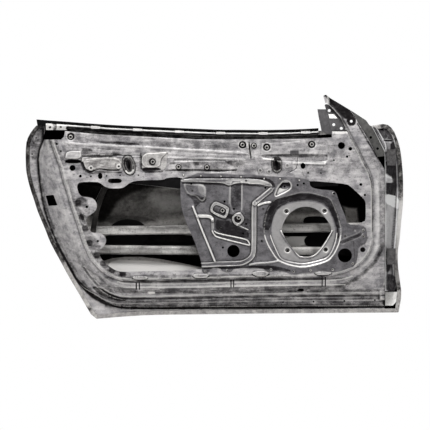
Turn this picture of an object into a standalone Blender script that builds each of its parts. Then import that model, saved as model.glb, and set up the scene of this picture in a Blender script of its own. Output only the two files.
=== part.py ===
"""Bare shell of a two-door car's front door, left side: outer skin, stamped inner panel and fittings.

X runs from the latch end to the hinge end, Z up, and -Y towards the cabin. The origin is the middle of
the lower hinge's flat seat. Depths are measured from the trim face outwards, and outlines are given in
thousandths of the door's length and height, from its lower latch-side corner.
"""

import math

import bmesh
import bpy
from mathutils import Vector
from mathutils.bvhtree import BVHTree
from mathutils.geometry import delaunay_2d_cdt

for old in list(bpy.data.objects):
    bpy.data.objects.remove(old, do_unlink=True)

# Overall sizes, in metres
DOOR_LENGTH = 1.400
DOOR_HEIGHT = 0.828
SKIN_DEPTH = 0.125
SILL_TUCK = 0.040
BELT_TUCK = 0.090
END_TUCK = 0.015
WIDEST_SHARE = 0.45

# Sheets and the gap left between two pieces that touch
SKIN_SHEET = 0.0012
PANEL_SHEET = 0.0016
CARRIER_SHEET = 0.0020
BEAM_SHEET = 0.0020
TRIM_SHEET = 0.0012
SEAM_GAP = 0.0003
EDGE_GAP = 0.0006

# Folded edge of the skin
HEM_WIDTH = 0.0150
HEM_GAP = 0.0006
FLANGE_INSET = 0.0070

# Depths of the inner panel's steps
LAND_DEPTH = 0.012
SASH_LEAN = 0.026
GROOVE_REAR_DEPTH = 0.026
GROOVE_FRONT_DEPTH = 0.014
RIM_DEPTH = 0.030
FOOT_RISE = 0.016
BEAD_WIDTH = 0.012
BEAD_HEIGHT = 0.004
BOSS_WIDTH, BOSS_LENGTH, BOSS_TILT = 0.046, 0.068, 0.10
BOSS_HEIGHT = 0.007
BOSS_SLOT_WIDTH, BOSS_SLOT_LENGTH = 0.008, 0.024
CLIP_SEAT_WIDTH, CLIP_SEAT_HEIGHT, CLIP_SEAT_RISE = 0.048, 0.012, 0.004
TROUGH_DEPTH = 0.008
WALL_DRAFT = 0.004
STEP_DRAFT = 0.0035

# Carrier plate
SPEAKER_RECESS = 0.010
SPEAKER_DRAFT = 0.012
RIB_WIDTH = 0.014
RIB_HEIGHT = 0.004
RIB_DRAFT = 0.0032
PAD_HEIGHT = 0.007
POCKET_DEPTH = 0.005
CARRIER_CORNER = 0.006

# Bars and rails behind the panel
BEAM_BACK_GAP = 0.014
BEAM_HEIGHT = 0.022
BEAM_CROWN = 0.014
BEAM_LIP = 0.006
BEAM_DRAFT = 0.004
RAIL_DEPTH = 0.046
RAIL_WIDTH = 0.020
RAIL_LIP = 0.010
WAIST_BEAM_CROWN = 0.014
WAIST_SKIRT_LEAN = 0.012

# Belt line: heights are measured down from the door's top line
STRIP_WIDTH = 0.0092
BELT_RAIL_STANDOFF = 0.018
BELT_RAIL_FLANGE = 0.0050
BELT_RAIL_HEIGHT = 0.036
BELT_RAIL_LEAN = 0.009
BELT_TAB_WIDTH = 0.033
BELT_TAB_RISE = 0.004

# Small plates and bores
PAD_GAP = 0.0007
BRACKET_GAP = 0.0013
DISH_RISE = 0.004
DISH_RADIUS = 0.028
SASH_FLANGE_BORE = 0.005
MIRROR_BORE = 0.0055

# Hinge side
HINGE_SEAT_HEIGHT = 0.060
HINGE_SEAT_WIDTH = 0.036
HINGE_SEAT_REACH = 0.038
HINGE_SEAT_BACK_GAP = 0.01437
HINGE_SEAT_NOSE = 0.006
HINGE_SEAT_NOSE_DEPTH = 0.012
HINGE_BORE_RADIUS = 0.0045
HINGE_BORE_SPACING = 0.034
HINGE_BORE_DEPTH = 0.012
HINGE_SEAT_GAP = 0.0008

# Fasteners: head radius and height
RIVET_RADIUS, RIVET_HEIGHT = 0.0050, 0.0025
SCREW_RADIUS, SCREW_HEIGHT = 0.0055, 0.0040
BOLT_RADIUS, BOLT_HEIGHT = 0.0085, 0.0060
NUT_RADIUS, NUT_HEIGHT = 0.0080, 0.0060
SOCKET_SHARE = 0.42
HOLLOW_FLOOR_SHARE = 0.4
HEAD_TOP_SHARE = 0.75

# Fineness of the model
UNIT_SHARE = 0.001
ROUND_SIDES = 12
HEAD_SIDES = 8
ARC_SIDE_SHARE = 0.45
MERGE_DISTANCE = 0.00001
SMOOTH_ANGLE = math.radians(40)
CELL_MIDDLE_SHARE = 0.5
SKIN_ROWS = 16
SKIN_COLUMNS = 11

# Door's own places, in thousandths of its length and height
HINGE_SEAT_SHARES = (
    (952, 280), (952, 723),
)

# Outer edge of the skin: down the latch side, along the sill and up the hinge side; the belt edge follows
# the black strip
LATCH_EDGE_SHARES = (
    (32, 872), (16, 841), (3, 801), (0, 756), (0, 711), (1, 667), (6, 622), (13, 577), (22, 532),
    (30, 488), (41, 443), (52, 398), (62, 353), (75, 309), (90, 264), (104, 219), (119, 174),
    (135, 130), (151, 85),
)
SILL_EDGE_SHARES = (
    (180, 0), (210, 4), (250, 10), (329, 18), (462, 21), (620, 24), (806, 27), (987, 29),
)
HINGE_EDGE_SHARES = (
    (996, 110), (991, 174), (986, 237), (985, 300), (991, 353), (995, 443), (999, 510), (1000, 577),
    (999, 644), (996, 711), (992, 756), (985, 801), (972, 850), (954, 875),
)
BELT_FRONT_SHARES = (
    (919, 866), (901, 859), (845, 848),
)

# Inner panel: latch side and sill from the hem inwards
PANEL_SEAM_SHARES = (
    (45, 802), (34, 756), (31, 711), (32, 667), (34, 622), (38, 577), (42, 532), (48, 488), (56, 443),
    (66, 398), (77, 353), (89, 313), (104, 264), (118, 224), (131, 183), (144, 150), (157, 123),
    (171, 103), (184, 85), (197, 73), (213, 62), (231, 54), (255, 48), (329, 47), (462, 49), (620, 50),
    (806, 51), (950, 52),
)
PANEL_CREST_SHARES = (
    (49, 802), (39, 756), (36, 711), (38, 662), (43, 617), (48, 577), (52, 537), (59, 492), (67, 447),
    (77, 407), (88, 367), (98, 327), (111, 286), (124, 246), (138, 208), (151, 174), (165, 146),
    (181, 124), (197, 107), (216, 94), (237, 86), (263, 83), (329, 84), (462, 87), (620, 91),
    (806, 94), (950, 96),
)
PANEL_GROOVE_SHARES = (
    (56, 802), (63, 734), (70, 685), (81, 622), (91, 555), (99, 506), (107, 465), (115, 425),
    (124, 385), (134, 347), (144, 311), (156, 275), (169, 244), (184, 216), (200, 191), (218, 171),
    (237, 157), (255, 148), (290, 143), (462, 148), (620, 152), (753, 157), (821, 170), (858, 192),
    (885, 221), (901, 246), (917, 273), (927, 302), (934, 331), (935, 362), (935, 577), (933, 644),
    (922, 698), (909, 743), (893, 787), (882, 828), (871, 872), (865, 908), (858, 935),
)
TRIM_EDGE_SHARES = (
    (69, 802), (77, 761), (85, 725), (94, 680), (103, 622), (112, 577), (119, 532), (126, 497),
    (132, 465), (139, 432), (146, 398), (151, 367), (157, 336), (168, 295), (176, 268), (187, 246),
    (200, 224), (216, 203), (234, 187), (253, 178), (279, 174), (329, 176), (462, 181), (620, 188),
    (726, 191), (806, 197), (845, 215), (872, 237), (890, 260), (901, 282), (909, 304), (914, 331),
    (917, 362), (917, 577), (915, 609), (911, 635), (906, 662), (898, 685), (889, 711), (880, 745),
    (870, 779), (858, 817), (851, 841),
)

# Its cabin-side rim up the hinge side and the sash, and its edge along the waist
PANEL_RIM_SHARES = (
    (950, 157), (950, 398), (950, 667), (939, 698),
)
SASH_RIM_SHARES = (
    (930, 725), (917, 770), (906, 805), (893, 841), (880, 872), (872, 902), (858, 935),
)
SASH_TIP_SHARES = (
    (832, 961), (806, 988), (794, 1002), (787, 998), (792, 966),
)
SASH_EDGE_SHARES = (
    (803, 957), (813, 940), (832, 902), (845, 859),
)
WAIST_EDGE_SHARES = (
    (845, 838), (810, 838), (810, 812), (774, 808), (726, 805), (620, 803), (462, 803), (430, 805),
    (343, 813), (276, 819), (210, 824), (144, 833), (106, 840), (102, 814), (94, 802),
)
TONGUE_SHARES = (
    (52, 841), (48, 872),
)

# Openings and holes of the inner panel
OPENING_SHARES = (
    (137, 586), (138, 602), (144, 612), (189, 613), (200, 606), (210, 592), (226, 583), (255, 584),
    (266, 594), (276, 609), (290, 617), (316, 621), (364, 622), (377, 633), (409, 634), (425, 617),
    (726, 609), (750, 618), (806, 611), (851, 603), (861, 591), (885, 553), (897, 532), (899, 515),
    (899, 441), (890, 434), (869, 414), (867, 327), (865, 282), (856, 253), (827, 248), (803, 243),
    (774, 231), (734, 225), (694, 230), (663, 245), (478, 245), (466, 218), (279, 213), (255, 211),
    (239, 217), (224, 233), (210, 253), (200, 273), (195, 291), (195, 304), (200, 313), (210, 331),
    (214, 349), (212, 367), (202, 382), (192, 388), (180, 385), (173, 391), (168, 403), (163, 425),
    (161, 447), (164, 455), (171, 465), (184, 479), (189, 497), (189, 515), (184, 532), (176, 542),
    (149, 548), (142, 559),
)
SLOT_SHARES = (
    (
    (193, 651), (202, 653), (205, 629), (196, 626),
),
    (
    (220, 628), (234, 630), (254, 619), (255, 609), (234, 610), (220, 616),
),
    (
    (728, 698), (739, 698), (740, 671), (729, 670),
),
    (
    (108, 709), (146, 711), (146, 701), (108, 698),
),
)
ROUND_HOLE_SHARES = (
    (125, 676), (835, 775), (858, 761), (146, 638), (892, 311), (886, 602), (897, 554), (84, 783),
    (94, 749), (850, 726),
)
ROUND_HOLE_RADII = (0.0110, 0.0130, 0.0070, 0.0055, 0.0085, 0.0055, 0.0045, 0.0040, 0.0035, 0.0045)
SASH_HOLE_SHARE = (861, 884)
SASH_HOLE_RADIUS = 0.0045
LATCH_CUT_SHARES = (
    (53, 552), (74, 555), (85, 509), (61, 506),
)

# Pressed forms of the inner panel
BEAD_SHARES = (
    (
    (112, 788), (276, 773), (575, 745),
),
    (
    (149, 814), (329, 794), (546, 784),
),
)
TROUGH_SHARES = (
    (626, 733), (795, 733), (797, 698), (626, 708),
)
BOSS_CENTRE_SHARES = (
    (272, 687), (664, 691),
)
CLIP_SEAT_SHARES = (
    (303, 189), (463, 194), (622, 204), (788, 204),
)

# Carrier plate
CARRIER_EDGE_SHARES = (
    (410, 653), (594, 644), (660, 635), (713, 633), (739, 627), (751, 617), (752, 595), (761, 586),
    (779, 579), (806, 576), (820, 571), (828, 532), (836, 497), (847, 452), (849, 424), (890, 419),
    (902, 403), (902, 338), (880, 329), (877, 273), (869, 235), (858, 230), (827, 210), (800, 210),
    (792, 220), (771, 220), (761, 209), (739, 208), (716, 200), (702, 200), (687, 212), (663, 217),
    (652, 212), (636, 217), (626, 229), (552, 229), (544, 211), (522, 211), (515, 229), (491, 229),
    (484, 207), (467, 207), (466, 255), (451, 331), (440, 376), (427, 421), (415, 479), (410, 532),
)
SPEAKER_RIM_SHARES = (
    (628, 416), (636, 470), (647, 510), (663, 537), (687, 550), (713, 566), (739, 569), (774, 559),
    (800, 547), (813, 519), (824, 474), (832, 416), (831, 371), (824, 322), (813, 277), (800, 259),
    (766, 245), (734, 240), (700, 244), (679, 252), (660, 268), (649, 300), (636, 345),
)
SPEAKER_CUT_SHARES = (
    (676, 398), (684, 438), (696, 470), (713, 492), (731, 503), (750, 503), (769, 492), (783, 472),
    (796, 447), (806, 421), (810, 396), (800, 367), (784, 327), (770, 297), (755, 279), (729, 279),
    (717, 294), (702, 322), (687, 358),
)
CARRIER_RIB_SHARES = (
    (
    (443, 510), (459, 447), (478, 371), (496, 291),
),
    (
    (474, 458), (485, 454), (494, 434), (496, 407),
),
    (
    (501, 376), (586, 345), (597, 313), (602, 282),
),
    (
    (475, 245), (575, 246), (589, 258),
),
    (
    (604, 313), (604, 425), (606, 501), (626, 532), (647, 559),
),
)
CARRIER_PAD_SHARES = (
    (
    (491, 510), (501, 523), (515, 521), (537, 499), (537, 474), (530, 456), (517, 457), (495, 479),
),
    (
    (550, 470), (560, 480), (569, 479), (578, 459), (573, 432), (561, 425), (552, 443),
),
)
CARRIER_CHANNEL_SHARES = (
    (544, 593), (573, 593), (573, 510), (562, 497), (546, 510),
)
CARRIER_POCKET_SHARES = (
    (419, 595), (475, 593), (478, 541), (462, 530), (425, 535),
)
CARRIER_TEARDROP_SHARES = (
    (675, 591), (687, 601), (698, 591), (697, 573), (665, 550), (674, 573),
)
CARRIER_HOLE_SHARES = (
    (550, 304), (845, 285), (583, 619), (635, 589), (583, 421), (513, 404), (575, 384), (522, 320),
    (625, 349), (628, 492), (719, 600), (438, 613),
)
CARRIER_HOLE_RADII = (
    0.0230, 0.0255, 0.0040, 0.0040, 0.0050, 0.0045, 0.0040, 0.0040, 0.0040, 0.0040, 0.0040, 0.0040,
)
RIVET_SHARES = (
    (418, 643), (464, 640), (517, 638), (570, 635), (631, 628), (673, 626), (724, 620),
)
SCREW_SHARES = (
    (475, 215), (533, 219), (649, 222), (709, 212), (754, 219), (812, 221), (865, 248), (894, 370),
    (893, 398),
)
NUT_SHARES = (
    (690, 481), (790, 485), (693, 306), (794, 311),
)
WAIST_BOLT_SHARES = (
    (120, 814), (574, 779), (604, 775), (638, 767), (757, 781), (405, 680), (480, 678),
)
PAD_BOLT_SHARES = (
    (521, 485), (564, 454),
)

# Bars, rails and small plates
UPPER_BEAM_SHARES = (
    (118, 393), (911, 413),
)
LOWER_BEAM_SHARES = (
    (197, 311), (885, 300),
)
WAIST_BEAM_EDGE_SHARES = (
    (261, 640), (261, 794), (795, 790), (819, 747), (827, 629),
)
WAIST_SKIRT_SHARES = (
    (827, 595), (594, 579), (409, 583), (279, 607), (261, 617),
)
WAIST_BEAM_CROWN_SHARES = (
    (271, 767), (784, 763), (811, 738), (815, 651), (594, 651), (403, 655), (287, 655), (271, 667),
)
RAIL_PATH_SHARES = (
    (230, 655), (216, 604), (201, 550), (187, 479), (180, 407), (179, 353),
)
PATCH_SHARES = (
    (153, 723), (254, 731), (254, 663), (210, 665), (200, 671), (189, 667), (179, 657), (168, 658),
    (157, 668), (152, 687),
)
DISH_SHARES = (
    (307, 745), (370, 749), (377, 738), (373, 668), (351, 664), (319, 664), (308, 689),
)
DISH_CENTRE_SHARE = (337, 703)
BRACKET_SHARES = (
    (700, 753), (722, 753), (722, 738), (700, 738),
)

# Belt line
STRIP_TOP_SHARES = (
    (33, 889), (65, 887), (118, 881), (171, 874), (224, 867), (276, 864), (329, 859), (409, 853),
    (462, 849), (515, 847), (567, 846), (673, 846), (726, 849), (774, 853),
)
BELT_RAIL_TAB_SHARES = (
    (185, 864), (296, 855), (407, 848), (516, 843), (628, 841), (741, 846),
)
BELT_RAIL_START_SHARES = (
    (54, 870), (108, 862),
)
BELT_RAIL_END_SHARES = (
    (108, 853), (102, 846), (54, 847),
)

# Sash and hinge side
SASH_FLANGE_EDGE_SHARES = (
    (901, 888), (909, 868), (915, 861), (933, 803), (948, 751), (948, 728),
)
SASH_FLANGE_HOLE_SHARES = (
    (913, 812), (931, 762),
)
POST_SHARES = (
    (772, 938), (783, 938), (796, 938), (802, 899), (812, 825), (799, 830), (783, 838), (779, 872),
    (775, 904),
)
POST_CREASE_SHARES = (
    (783, 938), (788, 899), (799, 830),
)
MIRROR_BRACKET_SHARES = (
    (791, 956), (794, 961), (808, 958), (818, 940), (836, 902), (849, 859), (844, 842), (809, 842),
    (800, 899), (795, 935),
)
MIRROR_HOLE_SHARES = (
    (803, 932), (815, 869), (835, 852),
)
MIRROR_PAD_SHARES = (
    (801, 916), (816, 916), (825, 897), (804, 897),
)
HINGE_FOOT_SHARES = (
    (945, 844), (964, 823), (974, 792), (980, 756), (984, 689), (985, 622), (982, 541), (978, 470),
    (973, 380), (970, 300), (970, 237), (974, 174), (977, 125),
)
HINGE_WALL_END_SHARE = (950, 125)
SILL_FILLER_SHARES = (
    (952, 121), (984, 121), (981, 76), (972, 60), (952, 60),
)
REAR_PAD_SHARES = (
    (327, 380), (321, 409), (306, 433), (284, 446), (259, 446), (237, 433), (221, 409), (216, 380),
    (221, 351), (237, 328), (259, 315), (284, 315), (306, 328), (321, 351),
)
FRONT_PAD_SHARES = (
    (734, 434), (739, 454), (753, 459), (784, 459), (798, 447), (808, 416), (811, 362), (798, 322),
    (747, 322), (738, 340), (738, 360), (750, 374), (761, 394), (742, 412),
)
LATCH_PLATE_SHARES = (
    (52, 582), (78, 588), (94, 501), (67, 488),
)

# Shapes in the plane of the door


def spot(share):
    """Place in the door's plane of a pair of thousandths of its length and height."""
    return Vector((share[0] * UNIT_SHARE * DOOR_LENGTH, share[1] * UNIT_SHARE * DOOR_HEIGHT))


def spots(shares):
    return [spot(share) for share in shares]


def turning(loop):
    """1 for a loop that runs anticlockwise, -1 for clockwise."""
    doubled = sum(a.x * b.y - b.x * a.y for a, b in zip(loop, loop[1:] + loop[:1]))
    return math.copysign(1, doubled)


def inset(loop, distance):
    """The loop moved inwards by a distance, corner for corner."""
    side = turning(loop)
    moved = []
    for before, corner, after in zip(loop[-1:] + loop[:-1], loop, loop[1:] + loop[:1]):
        come, leave = (corner - before).normalized(), (after - corner).normalized()
        mitre = (come + leave).orthogonal() * side
        moved.append(corner + mitre * (2 * distance / mitre.length_squared))
    return moved


def beside(path, distance):
    """An open path moved to its left by a distance, or to its right where that is negative."""
    moved = []
    for index, place in enumerate(path):
        come = place - path[index - 1] if index else path[1] - place
        leave = path[index + 1] - place if index + 1 < len(path) else come
        mitre = (come.normalized() + leave.normalized()).orthogonal()
        moved.append(place + mitre * (2 * distance / mitre.length_squared))
    return moved


def rounded(loop, radius, steps=2):
    """The loop with an arc in each corner, smaller where the sides beside it are short."""
    arcs = []
    for before, corner, after in zip(loop[-1:] + loop[:-1], loop, loop[1:] + loop[:1]):
        back, ahead = before - corner, after - corner
        half = back.angle(ahead) / 2
        reach = min(radius / math.tan(half), back.length * ARC_SIDE_SHARE, ahead.length * ARC_SIDE_SHARE)
        back.normalize()
        ahead.normalize()
        middle = (back + ahead).normalized()
        centre = corner + middle * (reach / math.cos(half))
        first = back * reach - middle * (reach / math.cos(half))
        last = ahead * reach - middle * (reach / math.cos(half))
        for step in range(steps + 1):
            arm = first.lerp(last, step / steps).normalized() * first.length
            arcs.append(centre + arm)
    return arcs


def ring(centre, radius, sides=ROUND_SIDES):
    """A circle round a centre."""
    return [centre + Vector((math.cos(turn), math.sin(turn))) * radius
            for turn in (math.tau * side / sides for side in range(sides))]


def oval(centre, width, height, tilt=0.0, sides=ROUND_SIDES):
    """An ellipse round a centre, tilted to the right at its top."""
    loop = []
    for side in range(sides):
        turn = math.tau * side / sides
        across, up = math.cos(turn) * width / 2, math.sin(turn) * height / 2
        loop.append(centre + Vector((across * math.cos(tilt) + up * math.sin(tilt),
                                     up * math.cos(tilt) - across * math.sin(tilt))))
    return loop


def band(path, width):
    """A closed strip of even width along a path."""
    return beside(path, width / 2) + beside(path, -width / 2)[::-1]


def lowered(path, drop):
    return [place - Vector((0, drop)) for place in path]


def holds(loop, place):
    """Whether a place lies inside a loop."""
    within = False
    for a, b in zip(loop, loop[1:] + loop[:1]):
        if (a.y > place.y) != (b.y > place.y):
            if place.x < a.x + (b.x - a.x) * (place.y - a.y) / (b.y - a.y):
                within = not within
    return within


# Depths


def skin_depth(place):
    """Depth of the skin's inner face, widest a little below the middle and tucked in at its ends."""
    along, up = place.x / DOOR_LENGTH, place.y / DOOR_HEIGHT
    if up < WIDEST_SHARE:
        tuck = SILL_TUCK * (1 - up / WIDEST_SHARE) ** 2
    else:
        tuck = BELT_TUCK * ((up - WIDEST_SHARE) / (1 - WIDEST_SHARE)) ** 2
    return SKIN_DEPTH - tuck - END_TUCK * (2 * along - 1) ** 2


def flange_depth(place):
    """Depth of a flange that lies on the skin, inside its folded edge."""
    return skin_depth(place) - HEM_GAP - PANEL_SHEET


def crest_depth(place):
    return flange_depth(place) - FOOT_RISE


def lean(place):
    """How far the sash leans outwards above the waist."""
    foot, tip = spot(TRIM_EDGE_SHARES[-1]).y, DOOR_HEIGHT
    return SASH_LEAN * max(0, place.y - foot) / (tip - foot)


def land_depth(place):
    return LAND_DEPTH + lean(place)


def groove_depth(place):
    along = place.x / DOOR_LENGTH
    return GROOVE_REAR_DEPTH + (GROOVE_FRONT_DEPTH - GROOVE_REAR_DEPTH) * along + lean(place)


def rim_depth(place):
    return RIM_DEPTH + lean(place)


def at_depth(places, depth):
    """Corners in space over places in the plane, at one depth or at the depth a function gives."""
    if callable(depth):
        return [Vector((place.x, depth(place), place.y)) for place in places]
    return [Vector((place.x, depth, place.y)) for place in places]


# Solids


def triangles_over(outline, holes=(), creases=(), loose=()):
    """Corners and triangles of a face over an outline with holes, creased along open or closed lines.

    The third list gives, for each corner, its number among the corners that went in, the outline's first.
    """
    corners, edges = [], []
    for loop in (outline, *holes):
        edges += [(len(corners) + i, len(corners) + (i + 1) % len(loop)) for i in range(len(loop))]
        corners += loop
    for line in creases:
        edges += [(len(corners) + i, len(corners) + i + 1) for i in range(len(line) - 1)]
        corners += line
    corners += loose
    flat = [Vector((corner.x, corner.z)) for corner in corners]
    places, _, faces, sources, _, _ = delaunay_2d_cdt(flat, edges, [], 0, MERGE_DISTANCE, True)
    rim = [Vector((corner.x, corner.z)) for corner in outline]
    gaps = [[Vector((corner.x, corner.z)) for corner in hole] for hole in holes]
    kept = []
    for face in faces:
        middle = sum((places[i] for i in face), Vector((0, 0))) / len(face)
        if holds(rim, middle) and not any(holds(gap, middle) for gap in gaps):
            kept.append(face)
    nearest = [source[0] if source else min(range(len(flat)), key=lambda i: (flat[i] - place).length)
               for place, source in zip(places, sources)]
    return [Vector((place.x, corners[i].y, place.y)) for place, i in zip(places, nearest)], kept, nearest


def material(name, colour, metallic, roughness):
    """A plain finish of one colour."""
    made = bpy.data.materials.new(name)
    made.use_nodes = True
    shader = made.node_tree.nodes["Principled BSDF"]
    shader.inputs["Base Color"].default_value = (*colour, 1)
    shader.inputs["Metallic"].default_value = metallic
    shader.inputs["Roughness"].default_value = roughness
    return made


def add_piece(name, mesh, finish, smooth_angle=None):
    """Object of a mesh, hung on the door's empty."""
    piece = bpy.data.objects.new(name, mesh)
    bpy.context.collection.objects.link(piece)
    piece.parent = door
    if not mesh.materials:
        mesh.materials.append(finish)
    if smooth_angle:
        mesh.shade_smooth()
        mesh.set_sharp_from_angle(angle=smooth_angle)
    return piece


def closed_mesh(name, solid):
    """Mesh of a finished solid with its faces turned outwards."""
    bmesh.ops.recalc_face_normals(solid, faces=solid.faces)
    mesh = bpy.data.meshes.new(name)
    solid.to_mesh(mesh)
    solid.free()
    return mesh


def pressing(name, finish, sheet, outline, holes=(), creases=(), loose=()):
    """Sheet pressed over an outline, of even depth; corners give its cabin side."""
    corners, faces, _ = triangles_over(outline, holes, creases, loose)
    solid = bmesh.new()
    used = {i: solid.verts.new(corners[i]) for face in faces for i in face}
    for face in faces:
        solid.faces.new([used[i] for i in face])
    grown = bmesh.ops.extrude_face_region(solid, geom=solid.faces[:], use_keep_orig=True)
    back = [part for part in grown["geom"] if isinstance(part, bmesh.types.BMVert)]
    bmesh.ops.translate(solid, vec=Vector((0, sheet, 0)), verts=back)
    return add_piece(name, closed_mesh(name, solid), finish)


def embossed(loop, base, height, draft):
    """Foot and top of a form pressed towards the cabin, or away from it where the height is negative."""
    foot = at_depth(loop, base)
    top = [Vector((place.x, corner.y - height, place.y)) for place, corner in zip(inset(loop, draft), foot)]
    return [foot + foot[:1], top + top[:1]]


def lofted(name, finish, sections):
    """Solid through sections of like corner counts, closed at both ends."""
    solid = bmesh.new()
    rings = [[solid.verts.new(corner) for corner in section] for section in sections]
    for near, far in zip(rings, rings[1:]):
        for i in range(len(near)):
            j = (i + 1) % len(near)
            solid.faces.new((near[i], near[j], far[j], far[i]))
    solid.faces.new(rings[0][::-1])
    solid.faces.new(rings[-1])
    return add_piece(name, closed_mesh(name, solid), finish)


def turned_mesh(name, profile, finish):
    """Round piece turned about the depth axis, its profile running from its middle to its seat."""
    solid = bmesh.new()
    rings = []
    for radius, depth in profile:
        rings.append([solid.verts.new((place.x, depth, place.y))
                      for place in ring(Vector((0, 0)), radius, HEAD_SIDES)])
    for near, far in zip(rings, rings[1:]):
        for i in range(HEAD_SIDES):
            j = (i + 1) % HEAD_SIDES
            solid.faces.new((near[i], near[j], far[j], far[i]))
    solid.faces.new(rings[0])
    solid.faces.new(rings[-1])
    mesh = closed_mesh(name, solid)
    mesh.materials.append(finish)
    return mesh


def headed(name, radius, height, finish):
    """Head with a hollow in its middle, drawn in towards its top."""
    hollow = radius * SOCKET_SHARE
    return turned_mesh(name, (
        (hollow, -height * HOLLOW_FLOOR_SHARE), (hollow, -height), (radius * HEAD_TOP_SHARE, -height),
        (radius, 0),
    ), finish)


def place_copies(name, mesh, finish, shares, depth):
    """One object for each place, all sharing one mesh, seated at a depth."""
    for number, place in enumerate(spots(shares), start=1):
        piece = add_piece(f"{name}_{number}", mesh, finish, SMOOTH_ANGLE)
        piece.location = at_depth([place], depth)[0]


# The door's empty carries every piece, in the frame of its lower latch-side corner

door = bpy.data.objects.new("door", None)
bpy.context.collection.objects.link(door)
seat_low, seat_high = spots(HINGE_SEAT_SHARES)
seat_back_depth = min(flange_depth(seat_low), flange_depth(seat_high)) - HINGE_SEAT_BACK_GAP
seat_middle_depth = seat_back_depth - HINGE_SEAT_WIDTH / 2
door.location = -Vector((seat_low.x + HINGE_SEAT_REACH, seat_middle_depth, seat_low.y))

bare_steel = material("bare_panel_steel", (0.42, 0.41, 0.40), 0.5, 0.5)
plate_grey = material("carrier_plate_grey", (0.14, 0.14, 0.145), 0.6, 0.42)
beam_steel = material("beam_steel", (0.33, 0.32, 0.31), 0.7, 0.4)
dark_primer = material("dark_primer", (0.03, 0.03, 0.032), 0.2, 0.45)
pale_primer = material("pale_primer", (0.85, 0.84, 0.82), 0.1, 0.5)
strip_rubber = material("black_strip", (0.008, 0.008, 0.009), 0.0, 0.5)
zinc = material("zinc_fastener", (0.5, 0.5, 0.5), 0.9, 0.35)
tar = material("damping_tar", (0.01, 0.01, 0.01), 0.0, 0.8)

# Outer skin, its edge folded back over the inner panel's flange

latch_edge, sill_edge = spots(LATCH_EDGE_SHARES), spots(SILL_EDGE_SHARES)
hinge_edge = spots(HINGE_EDGE_SHARES)
top_line = spots(STRIP_TOP_SHARES)
belt_edge = spots(BELT_FRONT_SHARES) + lowered(top_line[:0:-1], STRIP_WIDTH + SEAM_GAP)
skin_edge = latch_edge + sill_edge + hinge_edge + belt_edge
fold_height = PANEL_SHEET + 2 * HEM_GAP
guide_places = [
    Vector((DOOR_LENGTH * (column + CELL_MIDDLE_SHARE) / SKIN_COLUMNS,
            DOOR_HEIGHT * (row + CELL_MIDDLE_SHARE) / SKIN_ROWS))
    for row in range(SKIN_ROWS) for column in range(SKIN_COLUMNS)
]
guides = [place for place in guide_places if holds(inset(skin_edge, HEM_WIDTH), place)]


def hem_ring(distance, rise):
    """Loop along the skin's edge, at a distance inside it and a height above the skin's inner face."""
    return [Vector((moved.x, skin_depth(edge) - rise, moved.y))
            for moved, edge in zip(inset(skin_edge, distance), skin_edge)]


skin = bmesh.new()
hem_rings = [
    hem_ring(0, -SKIN_SHEET), hem_ring(0, fold_height + SKIN_SHEET),
    hem_ring(HEM_WIDTH, fold_height + SKIN_SHEET), hem_ring(HEM_WIDTH, fold_height),
    hem_ring(SKIN_SHEET, fold_height), hem_ring(SKIN_SHEET, 0),
]
hem_verts = [[skin.verts.new(corner) for corner in loop] for loop in hem_rings]
for near, far in zip(hem_verts, hem_verts[1:]):
    for i in range(len(near)):
        j = (i + 1) % len(near)
        skin.faces.new((near[i], near[j], far[j], far[i]))
for loop, rise in ((hem_verts[0], -SKIN_SHEET), (hem_verts[-1], 0)):
    middle = at_depth(guides, lambda place: skin_depth(place) - rise)
    corners, faces, numbers = triangles_over([vert.co for vert in loop], loose=middle)
    verts = [loop[number] if number < len(loop) else skin.verts.new(corner)
             for corner, number in zip(corners, numbers)]
    for face in faces:
        skin.faces.new([verts[i] for i in face])
add_piece("outer_skin", closed_mesh("outer_skin", skin), bare_steel)

# Inner panel: shut face, seal land, trim face, sash and waist from one sheet, doubled behind its latch cut

seam, crest, groove = spots(PANEL_SEAM_SHARES), spots(PANEL_CREST_SHARES), spots(PANEL_GROOVE_SHARES)
trim_edge = spots(TRIM_EDGE_SHARES)
rim_low, rim_top = spots(PANEL_RIM_SHARES), spots(SASH_RIM_SHARES)
sash_tip, sash = spots(SASH_TIP_SHARES), spots(SASH_EDGE_SHARES)
waist, tongue = spots(WAIST_EDGE_SHARES), spots(TONGUE_SHARES)
flange_line = inset(skin_edge, FLANGE_INSET)
panel_flange = flange_line[:len(latch_edge + sill_edge) - 1]
flange_end = Vector((seam[-1].x, panel_flange[-1].y))
trim_foot = beside(trim_edge, -WALL_DRAFT)
trim_foot[0] = trim_edge[0] - Vector((WALL_DRAFT, 0))
trim_foot[-1] = sash[-1]

panel_outline = (
    at_depth(panel_flange + [flange_end, seam[-1]], flange_depth) + at_depth(crest[-1:], crest_depth)
    + at_depth(rim_low + rim_top[:-1], rim_depth) + at_depth(groove[-1:] + sash_tip, groove_depth)
    + at_depth(sash, land_depth) + at_depth(trim_edge[-1:] + waist + trim_edge[:1], 0)
    + at_depth(trim_foot[:1], land_depth) + at_depth(groove[:1], groove_depth)
    + at_depth(crest[:1], crest_depth) + at_depth(seam[:1] + tongue, flange_depth)
)
panel_creases = [
    at_depth(seam, flange_depth), at_depth(crest, crest_depth), at_depth(groove, groove_depth),
    at_depth(trim_foot, land_depth), at_depth(trim_edge, 0),
]
for path in BEAD_SHARES:
    panel_creases += embossed(band(spots(path), BEAD_WIDTH), 0, BEAD_HEIGHT, STEP_DRAFT)
panel_creases += embossed(rounded(spots(TROUGH_SHARES), TROUGH_DEPTH), 0, -TROUGH_DEPTH, STEP_DRAFT)
panel_holes = [at_depth(spots(OPENING_SHARES), 0)]
panel_holes += [at_depth(rounded(spots(slot), STEP_DRAFT), 0) for slot in SLOT_SHARES]
panel_holes += [at_depth(ring(centre, radius), 0)
                for centre, radius in zip(spots(ROUND_HOLE_SHARES), ROUND_HOLE_RADII)]
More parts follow.
